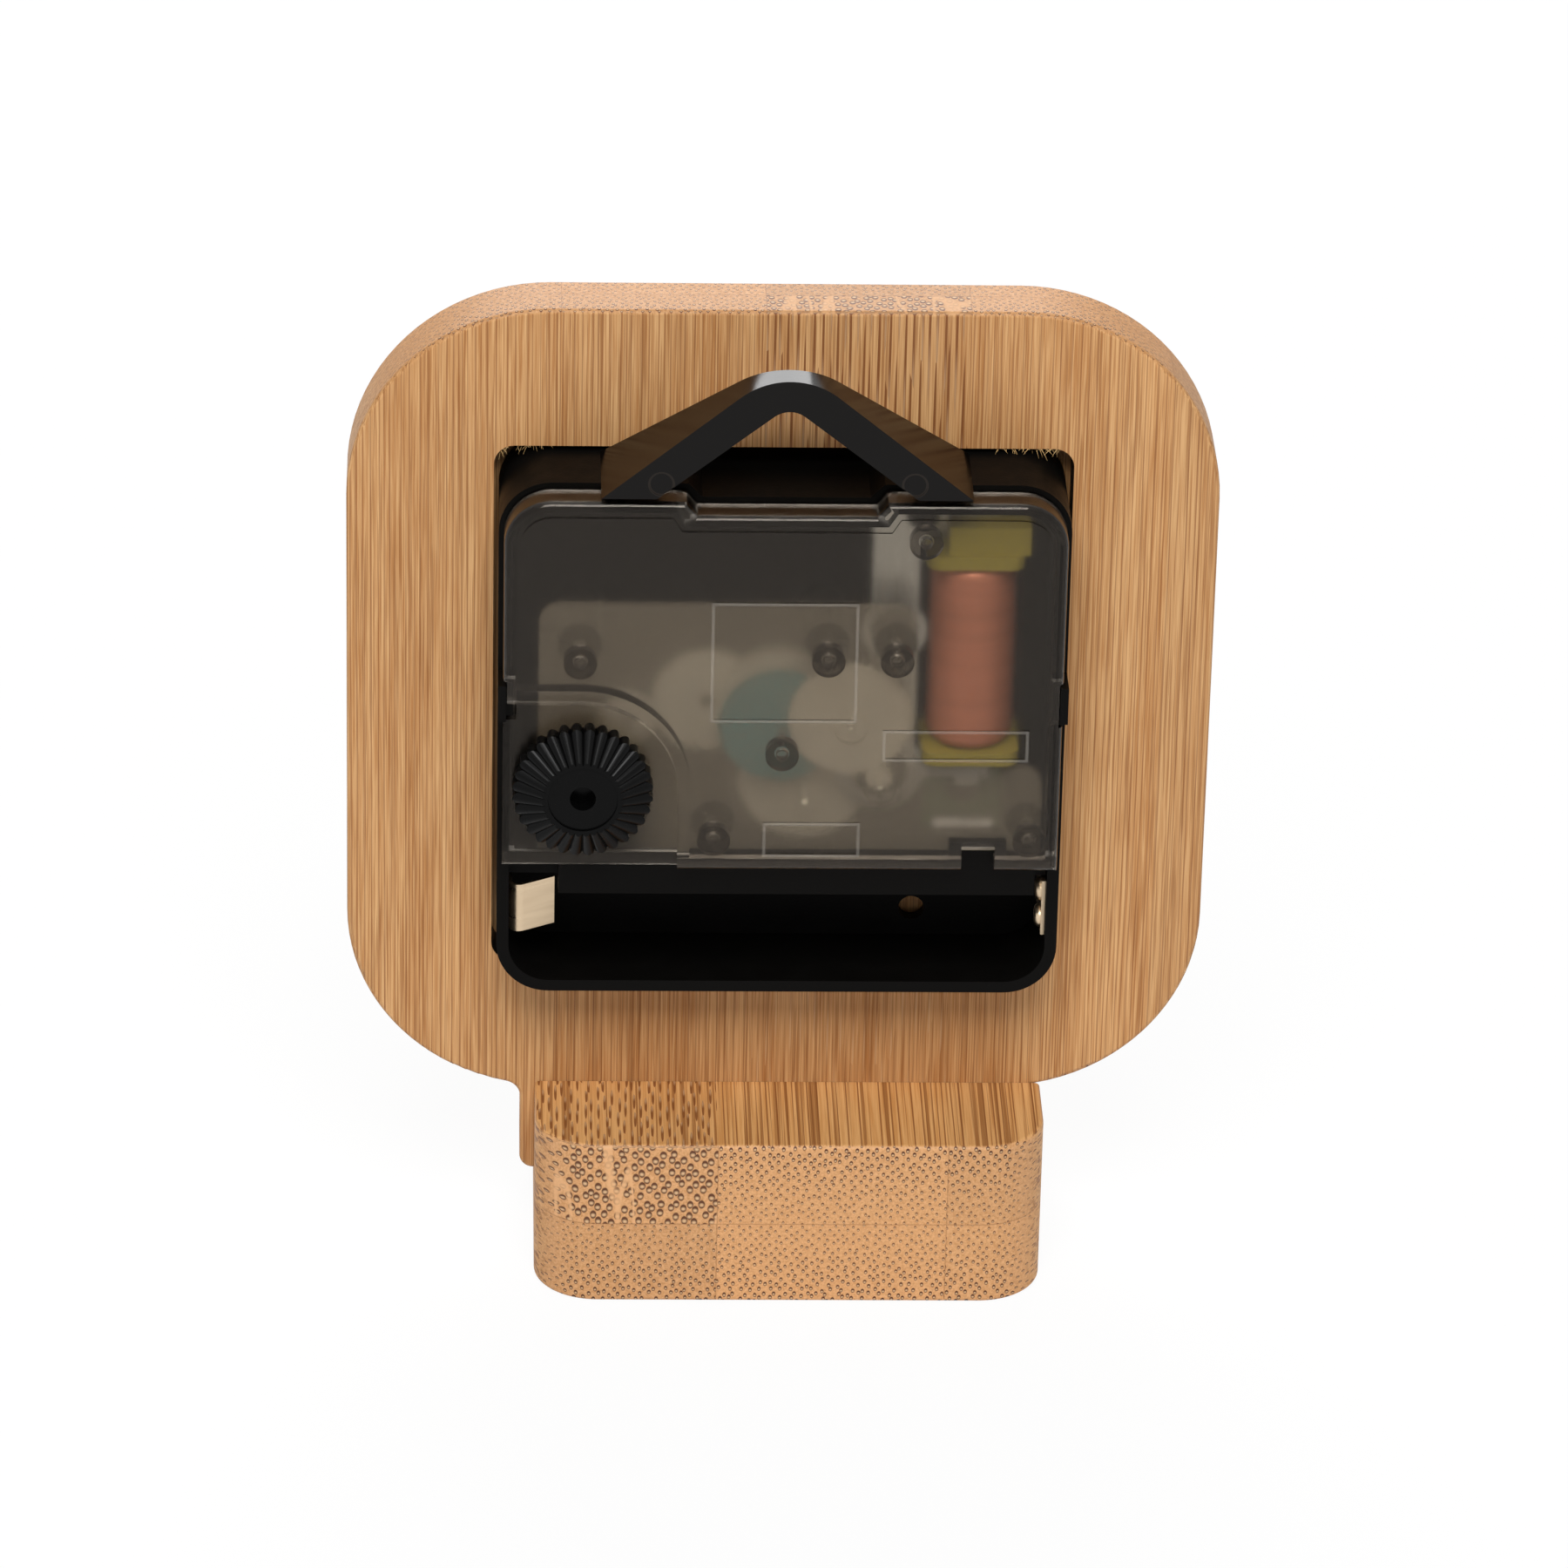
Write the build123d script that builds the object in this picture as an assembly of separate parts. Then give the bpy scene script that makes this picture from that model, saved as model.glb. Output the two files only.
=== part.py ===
from build123d import *
from math import cos, pi, radians, sin, sqrt
import os

# A bamboo desk clock with a small quartz movement let into its back.
# Millimetres, +Z up, dial towards -Y, origin under the middle of the base.

# Base block: laminated bamboo with a slot along X for the plate's neck
base_width = 51.4
base_depth = 34.2
base_height = 18.0
base_corner = 6.4
slot_depth = 10.2
slot_clearance = 0.05

# Plate: two-ply bamboo board with a neck below and a blind pocket behind
plate_width = 86.0
plate_height = 86.0
plate_corner = 20.0
plate_thick = 7.2
neck_width = 51.0
neck_reach = 9.6
neck_fillet = 1.8
neck_corner = 1.4
plate_slide = 1.7
wood_edge_round = 0.5
pocket_depth = 4.8
pocket_corner = 2.0
pocket_clearance = 0.5
bush_hole_clearance = 0.2
tick_outer_radius = 38.5
tick_length = 5.0
quarter_tick_length = 8.0
tick_width = 1.2
tick_depth = 0.25

# Movement case: black moulded tray with the battery bay along its lower side
movement_width = 56.0
movement_height = 56.0
movement_corner = 5.2
case_depth = 11.7
case_wall = 1.2
case_floor = 1.4
notch_half_width = 8.2
notch_depth = 1.4
cell_diameter = 10.5
cell_clearance = 0.3
ledge_width = 3.5
ledge_rise = 1.9
bay_hole_radius = 1.3
bay_hole_across = 13.9
bay_hole_up = 3.0
post_radius = 2.2
post_pin_radius = 0.6
post_pin_length = 0.6
coil_post_radius = 1.65
coil_post_rise = 0.4
catch_height = 3.9
catch_reach = 0.7
bush_radius = 4.0
bush_length = 6.0
moulding_gap = 0.1

# Rear cover: smoky clear moulding with a recess for the knob
cover_depth = 4.0
cover_wall = 1.2
cover_inset = 0.5
cover_edge_round = 0.7
cover_step = 0.25
cover_border = 1.5
cover_notch_width = 3.3
cover_notch_height = 2.6
cover_notch_across = 19.6
recess_depth = 1.6
recess_margin = 9.4
boss_radius = 1.65
boss_bore = 0.6
boss_length = 1.2
recess_corner = 9.6
window_height = 4.7
window_up = 5.8
window_sill = 1.1
window_depth = 2.4
rim_notch = 0.4
frame_line = 0.3
frame_rise = 0.15
label_width = 14.4
label_height = 13.0
label_up = 10.6
strip_width = 14.4
strip_height = 3.4
strip_across = 17.0
strip_up = 1.6
tag_width = 9.6
tag_height = 3.8
tag_across = 3.0
tag_down = 8.8

# Hanger: black V-shaped bracket on top of the movement
hanger_half_span = 18.1
hanger_foot = 5.4
hanger_rise = 12.6
hanger_round_rise = 2.1
hanger_loop_rise = 10.0
hanger_skin = 1.6
hanger_flange = 2.8
hanger_outer_round = 7.5
hanger_inner_round = 2.4
hanger_standoff = 0.2
hanger_back_inset = 0.3
mark_radius = 1.2
mark_depth = 0.12
mark_across = 12.3
mark_up = 1.6

# Fixing on the dial side
seal_thick = 0.6
seal_radius = 9.0
washer_thick = 0.5
washer_radius = 7.0
nut_thick = 2.0
nut_flats = 11.0
thread_clearance = 0.02

# Wheel teeth: straight-flanked, as shares of the module
addendum_share = 0.85
dedendum_share = 1.15
backlash_share = 0.22
flank_share = 0.34

# Going train, from the rotor to the centre wheel
train_module = 0.2
rotor_teeth = 12
intermediate_teeth = 60
intermediate_pinion_teeth = 10
second_teeth = 60
second_pinion_teeth = 8
third_teeth = 64
third_pinion_teeth = 8
centre_teeth = 60
intermediate_angle = 168.0
rotor_angle = 245.0
third_angle = 250.0
pivot_radius = 0.3
pivot_clearance = 0.05
pivot_boss_radius = 0.7
wheel_thick = 0.6
running_gap = 0.05
end_shake = 0.3
tooth_margin = 0.1

# Motion work and hand setting
motion_module = 0.3
cannon_teeth = 12
minute_wheel_teeth = 36
minute_pinion_teeth = 10
hour_teeth = 40
setting_teeth = 18
knob_teeth = 16
minute_wheel_angle = 5.0
setting_angle = -14.0
knob_angle = -26.3
motion_thick = 0.8
stud_radius = 0.6
second_arbor_radius = 0.35
minute_tube_inner = 0.45
minute_tube_radius = 1.4
hour_tube_radius = 2.3

# Levels of the wheels behind the inside of the case floor
hour_level = 0.2
minute_level = 1.3
centre_level = 2.6
third_level = 4.0
stator_level = 5.0
second_level = 5.8
intermediate_level = 7.2
bridge_level = 8.6

# Stepping motor
magnet_radius = 2.5
magnet_thick = 1.0
magnet_bore = 0.8
rotor_hole_clearance = 0.4
stator_thick = 0.8
stator_rim = 1.5
stator_column_width = 4.6
stator_arm = 3.4
stator_top_arm = 4.4
stator_column_across = 8.8
stator_lug = 1.0
stator_gap = 0.2
coil_across = 18.7
coil_low = -0.8
coil_length = 20.0
coil_radius = 4.25
coil_end_round = 1.4
flange_width = 9.6
flange_depth = 8.8
flange_thick = 1.4
terminal_width = 8.0
terminal_shift = 1.3
terminal_height = 3.0
terminal_depth = 3.2
core_width = 2.4
core_thick = 1.0
core_overhang = 4.0
core_clearance = 0.05
bobbin_radius = 2.0

# Bridge: milky plate that holds the wheels from behind
bridge_thick = 1.0
bridge_left = 24.0
bridge_right = 26.0
bridge_top = 14.6
bridge_bottom = 14.0
bridge_step_across = 13.2
bridge_step_down = 3.0
bridge_corner = 2.0
bridge_boss_radius = 1.6
bridge_boss_rise = 0.5

# Electronics
board_width = 7.8
board_height = 6.6
board_thick = 0.8
board_across = 18.5
board_down = 10.0
board_standoff = 1.6
board_boss_radius = 0.9
chip_radius = 1.7
chip_height = 0.7
crystal_radius = 1.0
crystal_length = 6.0

# Battery contacts
strip_thick = 0.35
negative_width = 5.2
negative_bend = 0.8
negative_leg = 7.6
negative_leaf = 3.6
negative_bend_angle = 120
negative_margin = 1.0
negative_notch_width = 4.9
positive_notch_width = 1.4
contact_notch_depth = 4.4
positive_width = 6.0
positive_height = 8.6
dimple_radius = 1.2
dimple_margin = 0.2
dimple_rise = 0.6
dimple_round_share = 0.9
dimple_pitch = 3.0

# Setting knob
knob_rim_radius = 6.95
knob_face_radius = 4.05
knob_rim_height = 1.6
knob_cone_height = 1.6
knob_floor_gap = 0.35
knob_dish_radius = 3.45
knob_dish_depth = 0.25
knob_hole_radius = 1.28
knob_hole_depth = 2.2
knob_flutes = 32
knob_flute_depth = 0.6
knob_stem_radius = 1.5
knob_stem_clearance = 0.1

# Hands, for a time of ten past ten and 35 seconds
hour_hand_length = 20.0
hour_hand_tail = 5.0
hour_hand_width = 3.6
minute_hand_length = 30.0
minute_hand_tail = 6.5
minute_hand_width = 2.8
second_hand_length = 32.0
second_hand_tail = 9.0
second_hand_width = 1.0
hand_tip_share = 0.55
hand_thick = 0.5
hand_ring = 1.6
hand_gap = 1.3
hour_tube_overhang = 1.0
hour_hand_angle = 305.0
minute_hand_angle = 60.0
second_hand_angle = 210.0

overrun = 1.0

# Places that follow from the sizes
slot_floor = base_height - slot_depth
plate_low = slot_floor + neck_reach
shaft_x = plate_slide
shaft_z = plate_low + plate_height / 2
plate_front = -plate_thick / 2
plate_back = plate_thick / 2
pocket_floor = plate_back - pocket_depth
case_front = pocket_floor + seal_thick
case_back = case_front + case_depth
floor_level = case_front + case_floor
cover_back = case_back + cover_depth
cover_under = cover_back - cover_wall
case_low = shaft_z - movement_height / 2
case_top = shaft_z + movement_height / 2
bay_low = case_low + case_wall
bay_high = bay_low + cell_diameter + cell_clearance
cover_low = bay_high + ledge_width
ledge_level = case_back + ledge_rise
bush_front = case_front - bush_length
washer_front = plate_front - washer_thick
nut_front = washer_front - nut_thick
hour_tube_bore = minute_tube_radius + running_gap
bush_bore = hour_tube_radius + running_gap
hour_y = floor_level + hour_level
minute_y = floor_level + minute_level
centre_y = floor_level + centre_level
third_y = floor_level + third_level
stator_y = floor_level + stator_level
second_y = floor_level + second_level
intermediate_y = floor_level + intermediate_level
bridge_y = floor_level + bridge_level
bridge_back = bridge_y + bridge_thick
boss_level = centre_y - end_shake
magnet_y = stator_y + stator_thick / 2 - magnet_thick / 2
core_y = stator_y + stator_thick
coil_y = core_y + core_thick / 2
coil_x = shaft_x - coil_across
coil_z = shaft_z + coil_low
recess_floor = cover_back - recess_depth
knob_y = recess_floor + knob_floor_gap
hour_hand_y = bush_front - hour_tube_overhang - hand_thick
minute_hand_y = hour_hand_y - hand_gap - hand_thick
second_hand_y = minute_hand_y - hand_gap - hand_thick


def from_point(x, z, distance, angle):
    """The point at a distance and an angle, from +X towards +Z, from (x, z)."""
    return x + distance * cos(radians(angle)), z + distance * sin(radians(angle))


def pair_distance(module, teeth_a, teeth_b):
    """Distance between the axes of two wheels in mesh."""
    return module * (teeth_a + teeth_b) / 2


intermediate_distance = pair_distance(train_module, intermediate_pinion_teeth, second_teeth)
intermediate_x, intermediate_z = from_point(shaft_x, shaft_z, intermediate_distance, intermediate_angle)
rotor_distance = pair_distance(train_module, rotor_teeth, intermediate_teeth)
rotor_x, rotor_z = from_point(intermediate_x, intermediate_z, rotor_distance, rotor_angle)
third_distance = pair_distance(train_module, second_pinion_teeth, third_teeth)
third_x, third_z = from_point(shaft_x, shaft_z, third_distance, third_angle)
slow_module = 2 * third_distance / (third_pinion_teeth + centre_teeth)
minute_distance = pair_distance(motion_module, cannon_teeth, minute_wheel_teeth)
minute_x, minute_z = from_point(shaft_x, shaft_z, minute_distance, minute_wheel_angle)
hour_module = 2 * minute_distance / (minute_pinion_teeth + hour_teeth)
setting_distance = pair_distance(motion_module, minute_wheel_teeth, setting_teeth)
setting_x, setting_z = from_point(minute_x, minute_z, setting_distance, setting_angle)
knob_distance = pair_distance(motion_module, setting_teeth, knob_teeth)
knob_x, knob_z = from_point(setting_x, setting_z, knob_distance, knob_angle)

# Posts of the case, as across and up from the shaft, in shares of the movement's half width and height
bridge_post_shares = ((0.713, 0.355), (-0.156, 0.368), (-0.397, 0.368), (-0.880, -0.336), (0.236, -0.336))
coil_post_shares = (-0.486, 0.826)


def post_place(shares):
    """A post's place, from its shares of the movement's half width and height."""
    across, up = shares
    return shaft_x + across * movement_width / 2, shaft_z + up * movement_height / 2


bridge_posts = [post_place(shares) for shares in bridge_post_shares]
coil_post = post_place(coil_post_shares)
posts = bridge_posts + [coil_post]


def slab(profile, y_front, y_back):
    """A profile drawn in X and Z, as a solid from y_front to y_back."""
    return extrude(Plane.XZ.offset(-y_back) * profile, amount=y_back - y_front)


def slab_x(profile, x_left, x_right):
    """A profile drawn in Y and Z, as a solid from x_left to x_right."""
    return extrude(Plane.YZ.offset(x_left) * profile, amount=x_right - x_left)


def rod(x, z, radius, y_front, y_back):
    """A round bar along Y."""
    return slab(Pos(x, z) * Circle(radius), y_front, y_back)


def tube(x, z, radius, bore, y_front, y_back):
    """A round tube along Y."""
    return slab(Pos(x, z) * (Circle(radius) - Circle(bore)), y_front, y_back)


def block(x_low, x_high, y_low, y_high, z_low, z_high):
    """A block between two corners."""
    corner = (Align.MIN, Align.MIN, Align.MIN)
    return Pos(x_low, y_low, z_low) * Box(x_high - x_low, y_high - y_low, z_high - z_low, align=corner)


def rectangle(x_low, x_high, z_low, z_high):
    """A flat rectangle between two corners."""
    return Pos(x_low, z_low) * Rectangle(x_high - x_low, z_high - z_low, align=(Align.MIN, Align.MIN))


def gear(x, z, teeth, module, phase, y_front, y_back, bore=0):
    """A toothed disc whose first tooth points along the angle phase."""
    pitch = module * teeth / 2
    tip = pitch + addendum_share * module
    root = pitch - dedendum_share * module
    half = pi * module * (1 - backlash_share) / 4
    half_tip = half - flank_share * (tip - pitch)
    half_root = half + flank_share * (pitch - root)
    corners = ((root, -half_root), (tip, -half_tip), (tip, half_tip), (root, half_root))
    points = []
    for tooth in range(teeth):
        middle = radians(phase + 360 * tooth / teeth)
        for radius, side in corners:
            angle = middle + side / radius
            points.append((x + radius * cos(angle), z + radius * sin(angle)))
    profile = make_face(Polyline(*points, close=True))
    if bore:
        profile -= Pos(x, z) * Circle(bore)
    return slab(profile, y_front, y_back)


def mesh_phase(phase_a, teeth_a, teeth_b, direction):
    """Phase of wheel b that puts it in mesh with wheel a, which lies the other way along direction."""
    return direction + 180 + 180 / teeth_b - (phase_a - direction) * teeth_a / teeth_b


def movement_outline(inset):
    """The movement's rounded square with the nail notch in its top side, drawn in by an inset."""
    body = Pos(shaft_x, shaft_z) * RectangleRounded(
        movement_width - 2 * inset, movement_height - 2 * inset, movement_corner - inset
    )
    floor = case_top - notch_depth - inset
    narrow = notch_half_width + inset
    wide = narrow + notch_depth + inset
    top = case_top + inset
    notch = make_face(Polyline(
        (shaft_x - narrow, floor), (shaft_x + narrow, floor),
        (shaft_x + wide, top), (shaft_x - wide, top), close=True,
    ))
    return body - notch


parts = {}

# Base block
base = extrude(RectangleRounded(base_width, base_depth, base_corner), amount=base_height)
rims = base.faces().sort_by(Axis.Z)
base = fillet(rims[0].edges() + rims[-1].edges(), wood_edge_round)
slot_half = plate_thick / 2 + slot_clearance
parts["base_block"] = base - block(
    -base_width, base_width, -slot_half, slot_half, slot_floor, base_height + overrun
)

# Clock plate
square = Pos(shaft_x, shaft_z) * RectangleRounded(plate_width, plate_height, plate_corner)
neck = rectangle(
    shaft_x - neck_width / 2, shaft_x + neck_width / 2, slot_floor, shaft_z
)
outline = square + neck
feet = outline.vertices().group_by(Axis.Y)[0]
outline = fillet(feet, neck_corner)
arc_drop = plate_corner - sqrt(plate_corner**2 - (neck_width / 2 - plate_width / 2 + plate_corner) ** 2)
shoulders = [
    corner for corner in outline.vertices()
    if abs(corner.Y - plate_low - arc_drop) < neck_corner
    and abs(abs(corner.X - shaft_x) - neck_width / 2) < neck_corner
]
outline = fillet(shoulders, neck_fillet)
plate = slab(outline, plate_front, plate_back)
faces = plate.faces().sort_by(Axis.Y)
plate = fillet(faces[0].edges() + faces[-1].edges(), wood_edge_round)
pocket = Pos(shaft_x, shaft_z) * RectangleRounded(
    movement_width + 2 * pocket_clearance, movement_height + 2 * pocket_clearance, pocket_corner
)
plate -= slab(pocket, pocket_floor, plate_back + overrun)
plate -= rod(shaft_x, shaft_z, bush_radius + bush_hole_clearance, plate_front - overrun, plate_back)
for hour in range(12):
    length = quarter_tick_length if hour % 3 == 0 else tick_length
    middle = Pos(shaft_x, shaft_z) * Rot(0, 0, 30 * hour) * Pos(0, tick_outer_radius - length / 2)
    plate -= slab(middle * Rectangle(tick_width, length), plate_front - overrun, plate_front + tick_depth)
parts["clock_plate"] = plate

# Movement case
case = slab(movement_outline(0), case_front, case_back)
case -= slab(movement_outline(case_wall), floor_level, case_back + overrun)
inner_half = movement_width / 2 - case_wall
case += block(
    shaft_x - inner_half, shaft_x + inner_half, floor_level, ledge_level, bay_high, bay_high + case_wall
)
shelf_half = inner_half - moulding_gap
shelf_high = cover_low + cover_wall
case += block(
    shaft_x - shelf_half, shaft_x + shelf_half, ledge_level - case_wall, ledge_level, bay_high, shelf_high
)
for side in (-1, 1):
    edge = shaft_x + side * inner_half
    lid = shaft_x + side * shelf_half
    case -= block(
        min(edge, lid), max(edge, lid), case_back, ledge_level + overrun,
        bay_high - overrun, shelf_high + overrun,
    )
for low, high in (
    (shaft_x - inner_half, shaft_x - inner_half + positive_notch_width),
    (shaft_x + inner_half - negative_notch_width, shaft_x + inner_half),
):
    case -= block(
        low, high, ledge_level - contact_notch_depth, ledge_level + overrun, bay_high - overrun, cover_low
    )
notch_x = shaft_x - cover_notch_across
tongue_half = cover_notch_width / 2 + cover_wall
case += block(
    notch_x - tongue_half, notch_x + tongue_half, ledge_level - case_wall, ledge_level,
    cover_low, cover_low + cover_notch_height,
)
case += rod(shaft_x, shaft_z, bush_radius, bush_front, floor_level)
case -= rod(shaft_x, shaft_z, bush_bore, bush_front - overrun, floor_level + overrun)
case -= rod(
    shaft_x - bay_hole_across, bay_low + bay_hole_up, bay_hole_radius, case_front - overrun, floor_level
)
for x, z in bridge_posts:
    case += rod(x, z, post_radius, floor_level, bridge_y)
    case += rod(x, z, post_pin_radius, bridge_y, bridge_y + post_pin_length)
case += rod(*coil_post, coil_post_radius, floor_level, core_y + coil_post_rise)
for x, z, boss_top in (
    (third_x, third_z, boss_level),
    (intermediate_x, intermediate_z, boss_level),
    (rotor_x, rotor_z, magnet_y - end_shake),
):
    case += rod(x, z, pivot_boss_radius, floor_level, boss_top)
    case -= rod(x, z, pivot_radius + pivot_clearance, floor_level, boss_top + overrun)
for x, z in ((minute_x, minute_z), (setting_x, setting_z), (knob_x, knob_z)):
    case += rod(x, z, stud_radius, floor_level, minute_y + motion_thick)
board_boss = board_width / 2 - board_boss_radius
for side in (-1, 1):
    case += rod(
        shaft_x - board_across + side * board_boss, shaft_z - board_down, board_boss_radius,
        floor_level, floor_level + board_standoff,
    )
window_z = shaft_z + window_up
cover_half = movement_width / 2 - cover_inset
for side in (-1, 1):
    outer = shaft_x + side * movement_width / 2
    inner = shaft_x + side * (cover_half - rim_notch + moulding_gap)
    case += block(
        min(inner, outer), max(inner, outer), case_back - case_wall, cover_back - cover_step,
        window_z - catch_height / 2, window_z + catch_height / 2,
    )
    hook = inner - side * catch_reach
    case += block(
        min(hook, inner), max(hook, inner),
        case_back + window_sill + moulding_gap, case_back + window_depth - moulding_gap,
        window_z - catch_height / 2, window_z + catch_height / 2,
    )
parts["movement_case"] = case

# Rear cover
upper = rectangle(shaft_x - movement_width, shaft_x + movement_width, cover_low, case_top + overrun)
hollow = rectangle(
    shaft_x - movement_width, shaft_x + movement_width, cover_low + cover_wall, case_top + overrun
)
cover = slab(movement_outline(cover_inset) & upper, case_back, cover_back - cover_step)
cover = fillet(cover.faces().sort_by(Axis.Y)[-1].edges(), cover_edge_round)
raised = rectangle(
    shaft_x - movement_width, shaft_x + movement_width, cover_low + cover_border, case_top + overrun
)
cover += slab(movement_outline(cover_inset + cover_border) & raised, case_back, cover_back)
recess = Pos(knob_x - recess_margin, knob_z + recess_margin) * Rectangle(
    movement_width, movement_height, align=(Align.MIN, Align.MAX)
)
recess = fillet(recess.vertices().sort_by(Axis.X)[:2].sort_by(Axis.Y)[-1:], recess_corner)
recess_wall = offset(recess, cover_wall)
hollow_profile = movement_outline(cover_inset + cover_wall) & hollow
cover -= slab(hollow_profile - recess_wall, case_back - overrun, cover_under)
cover -= slab(hollow_profile & recess_wall, case_back - overrun, recess_floor - cover_wall)
cover -= slab(recess, recess_floor, cover_back + overrun)
cover -= block(
    shaft_x - movement_width, shaft_x + movement_width, case_back - overrun, ledge_level + moulding_gap,
    cover_low - overrun, shelf_high + moulding_gap,
)
cover -= block(
    notch_x - cover_notch_width / 2, notch_x + cover_notch_width / 2, case_back, cover_back + overrun,
    cover_low - overrun, cover_low + cover_notch_height,
)
cover -= rod(knob_x, knob_z, knob_stem_radius + knob_stem_clearance, case_back, cover_back)
for side in (-1, 1):
    edge = shaft_x + side * (cover_half - rim_notch)
    near = shaft_x + side * (cover_half - cover_wall - moulding_gap)
    far = shaft_x + side * (cover_half + overrun)
    cover -= block(
        min(edge, far), max(edge, far), case_back - overrun, cover_back + overrun,
        window_z - window_height / 2, window_z + window_height / 2,
    )
    cover -= block(
        min(near, far), max(near, far), case_back + window_sill, case_back + window_depth,
        window_z - window_height / 2, window_z + window_height / 2,
    )
for x, z in posts + [(shaft_x, shaft_z)]:
    cover += tube(x, z, boss_radius, boss_bore, cover_under - boss_length, cover_under)
for width, height, x, z in (
    (label_width, label_height, shaft_x, shaft_z + label_up),
    (strip_width, strip_height, shaft_x - strip_across, shaft_z + strip_up),
    (tag_width, tag_height, shaft_x - tag_across, shaft_z - tag_down),
):
    line = Rectangle(width, height) - Rectangle(width - 2 * frame_line, height - 2 * frame_line)
    cover += slab(Pos(x, z) * line, cover_under, cover_back + frame_rise)
parts["rear_cover"] = cover

# Wall hanger
hanger_back = cover_back - hanger_back_inset
hanger_front = plate_back + hanger_standoff
hanger_neck = hanger_back - hanger_flange
peak = case_top + hanger_rise
roof = make_face(Polyline(
    (shaft_x - hanger_half_span, case_top), (shaft_x, peak + hanger_round_rise),
    (shaft_x + hanger_half_span, case_top), close=True,
))
roof = fillet(roof.vertices().sort_by(Axis.Y)[-1:], hanger_outer_round)
loop_half = hanger_half_span - hanger_foot
loop = make_face(Polyline(
    (shaft_x - loop_half, case_top), (shaft_x, case_top + hanger_loop_rise),
    (shaft_x + loop_half, case_top), close=True,
))
loop = fillet(loop.vertices().sort_by(Axis.Y)[-1:], hanger_inner_round)
hanger = slab(roof - loop, hanger_neck, hanger_back)
hanger += slab(roof - Pos(0, -hanger_skin) * roof, hanger_front, hanger_back)
lean = make_face(Polyline(
    (hanger_front, case_top), (hanger_neck, peak), (hanger_neck, peak + overrun),
    (hanger_front - overrun, peak + overrun), (hanger_front - overrun, case_top), close=True,
))
hanger -= slab_x(lean, shaft_x - hanger_half_span - overrun, shaft_x + hanger_half_span + overrun)
for side in (-1, 1):
    mark_x = shaft_x + side * mark_across
    hanger -= rod(mark_x, case_top + mark_up, mark_radius, hanger_back - mark_depth, hanger_back + overrun)
parts["wall_hanger"] = hanger

# Washers and nut that clamp the case to the plate
parts["rubber_washer"] = tube(
    shaft_x, shaft_z, seal_radius, bush_radius + thread_clearance, pocket_floor, case_front
)
parts["brass_washer"] = tube(
    shaft_x, shaft_z, washer_radius, bush_radius + thread_clearance, washer_front, plate_front
)
hexagon = RegularPolygon(nut_flats / 2, 6, major_radius=False) - Circle(bush_radius + thread_clearance)
nut = slab(Pos(shaft_x, shaft_z) * hexagon, nut_front, washer_front)
parts["hex_nut"] = nut

# Motion work
cannon_phase = minute_wheel_angle
minute_phase = mesh_phase(cannon_phase, cannon_teeth, minute_wheel_teeth, minute_wheel_angle)
setting_phase = mesh_phase(minute_phase, minute_wheel_teeth, setting_teeth, setting_angle)
knob_phase = mesh_phase(setting_phase, setting_teeth, knob_teeth, knob_angle)
minute_pinion_phase = mesh_phase(minute_wheel_angle, hour_teeth, minute_pinion_teeth, minute_wheel_angle)
stud_bore = stud_radius + running_gap

hour_back = hour_y + motion_thick
hour_wheel = gear(
    shaft_x, shaft_z, hour_teeth, hour_module, minute_wheel_angle, hour_y, hour_back, hour_tube_bore
)
parts["hour_wheel"] = hour_wheel + tube(
    shaft_x, shaft_z, hour_tube_radius, hour_tube_bore, hour_hand_y, hour_back
)

minute_back = minute_y + motion_thick
centre_back = centre_y + wheel_thick
minute_arbor = tube(shaft_x, shaft_z, minute_tube_radius, minute_tube_inner, minute_hand_y, centre_back)
parts["minute_arbor"] = minute_arbor + gear(
    shaft_x, shaft_z, cannon_teeth, motion_module, cannon_phase, minute_y, minute_back, minute_tube_inner
)

minute_wheel = gear(
    minute_x, minute_z, minute_wheel_teeth, motion_module, minute_phase, minute_y, minute_back, stud_bore
)
parts["minute_wheel"] = minute_wheel + gear(
    minute_x, minute_z, minute_pinion_teeth, hour_module, minute_pinion_phase, hour_y, minute_y, stud_bore
)

parts["setting_wheel"] = gear(
    setting_x, setting_z, setting_teeth, motion_module, setting_phase, minute_y, minute_back, stud_bore
)

# Setting knob: fluted rim and cone, stem through the cover and bridge, pinion at its foot
flute_shares = (0.0, 0.55, 0.85, 1.0, 1.0, 0.85, 0.55)


def fluted_ring(radius, depth):
    """A ring of rounded ridges, with their crests at the radius and their valleys in by the depth."""
    points = []
    for step in range(knob_flutes * len(flute_shares)):
        reach = radius - depth * (1 - flute_shares[step % len(flute_shares)])
        angle = 2 * pi * step / (knob_flutes * len(flute_shares))
        points.append((knob_x + reach * cos(angle), knob_z + reach * sin(angle)))
    return make_face(Polyline(*points, close=True))


rim_back = knob_y + knob_rim_height
face_back = rim_back + knob_cone_height
rim = fluted_ring(knob_rim_radius, knob_flute_depth)
face_flute = knob_flute_depth * knob_face_radius / knob_rim_radius
crown = fluted_ring(knob_face_radius, face_flute)
knob = slab(rim, knob_y, rim_back)
knob += loft([Plane.XZ.offset(-rim_back) * rim, Plane.XZ.offset(-face_back) * crown], ruled=True)
knob -= rod(knob_x, knob_z, knob_dish_radius, face_back - knob_dish_depth, face_back + overrun)
knob -= rod(knob_x, knob_z, knob_hole_radius, face_back - knob_hole_depth, face_back)
pinion_back = minute_back + end_shake
knob += rod(knob_x, knob_z, knob_stem_radius, pinion_back, knob_y)
knob += gear(knob_x, knob_z, knob_teeth, motion_module, knob_phase, minute_y, pinion_back)
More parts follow.
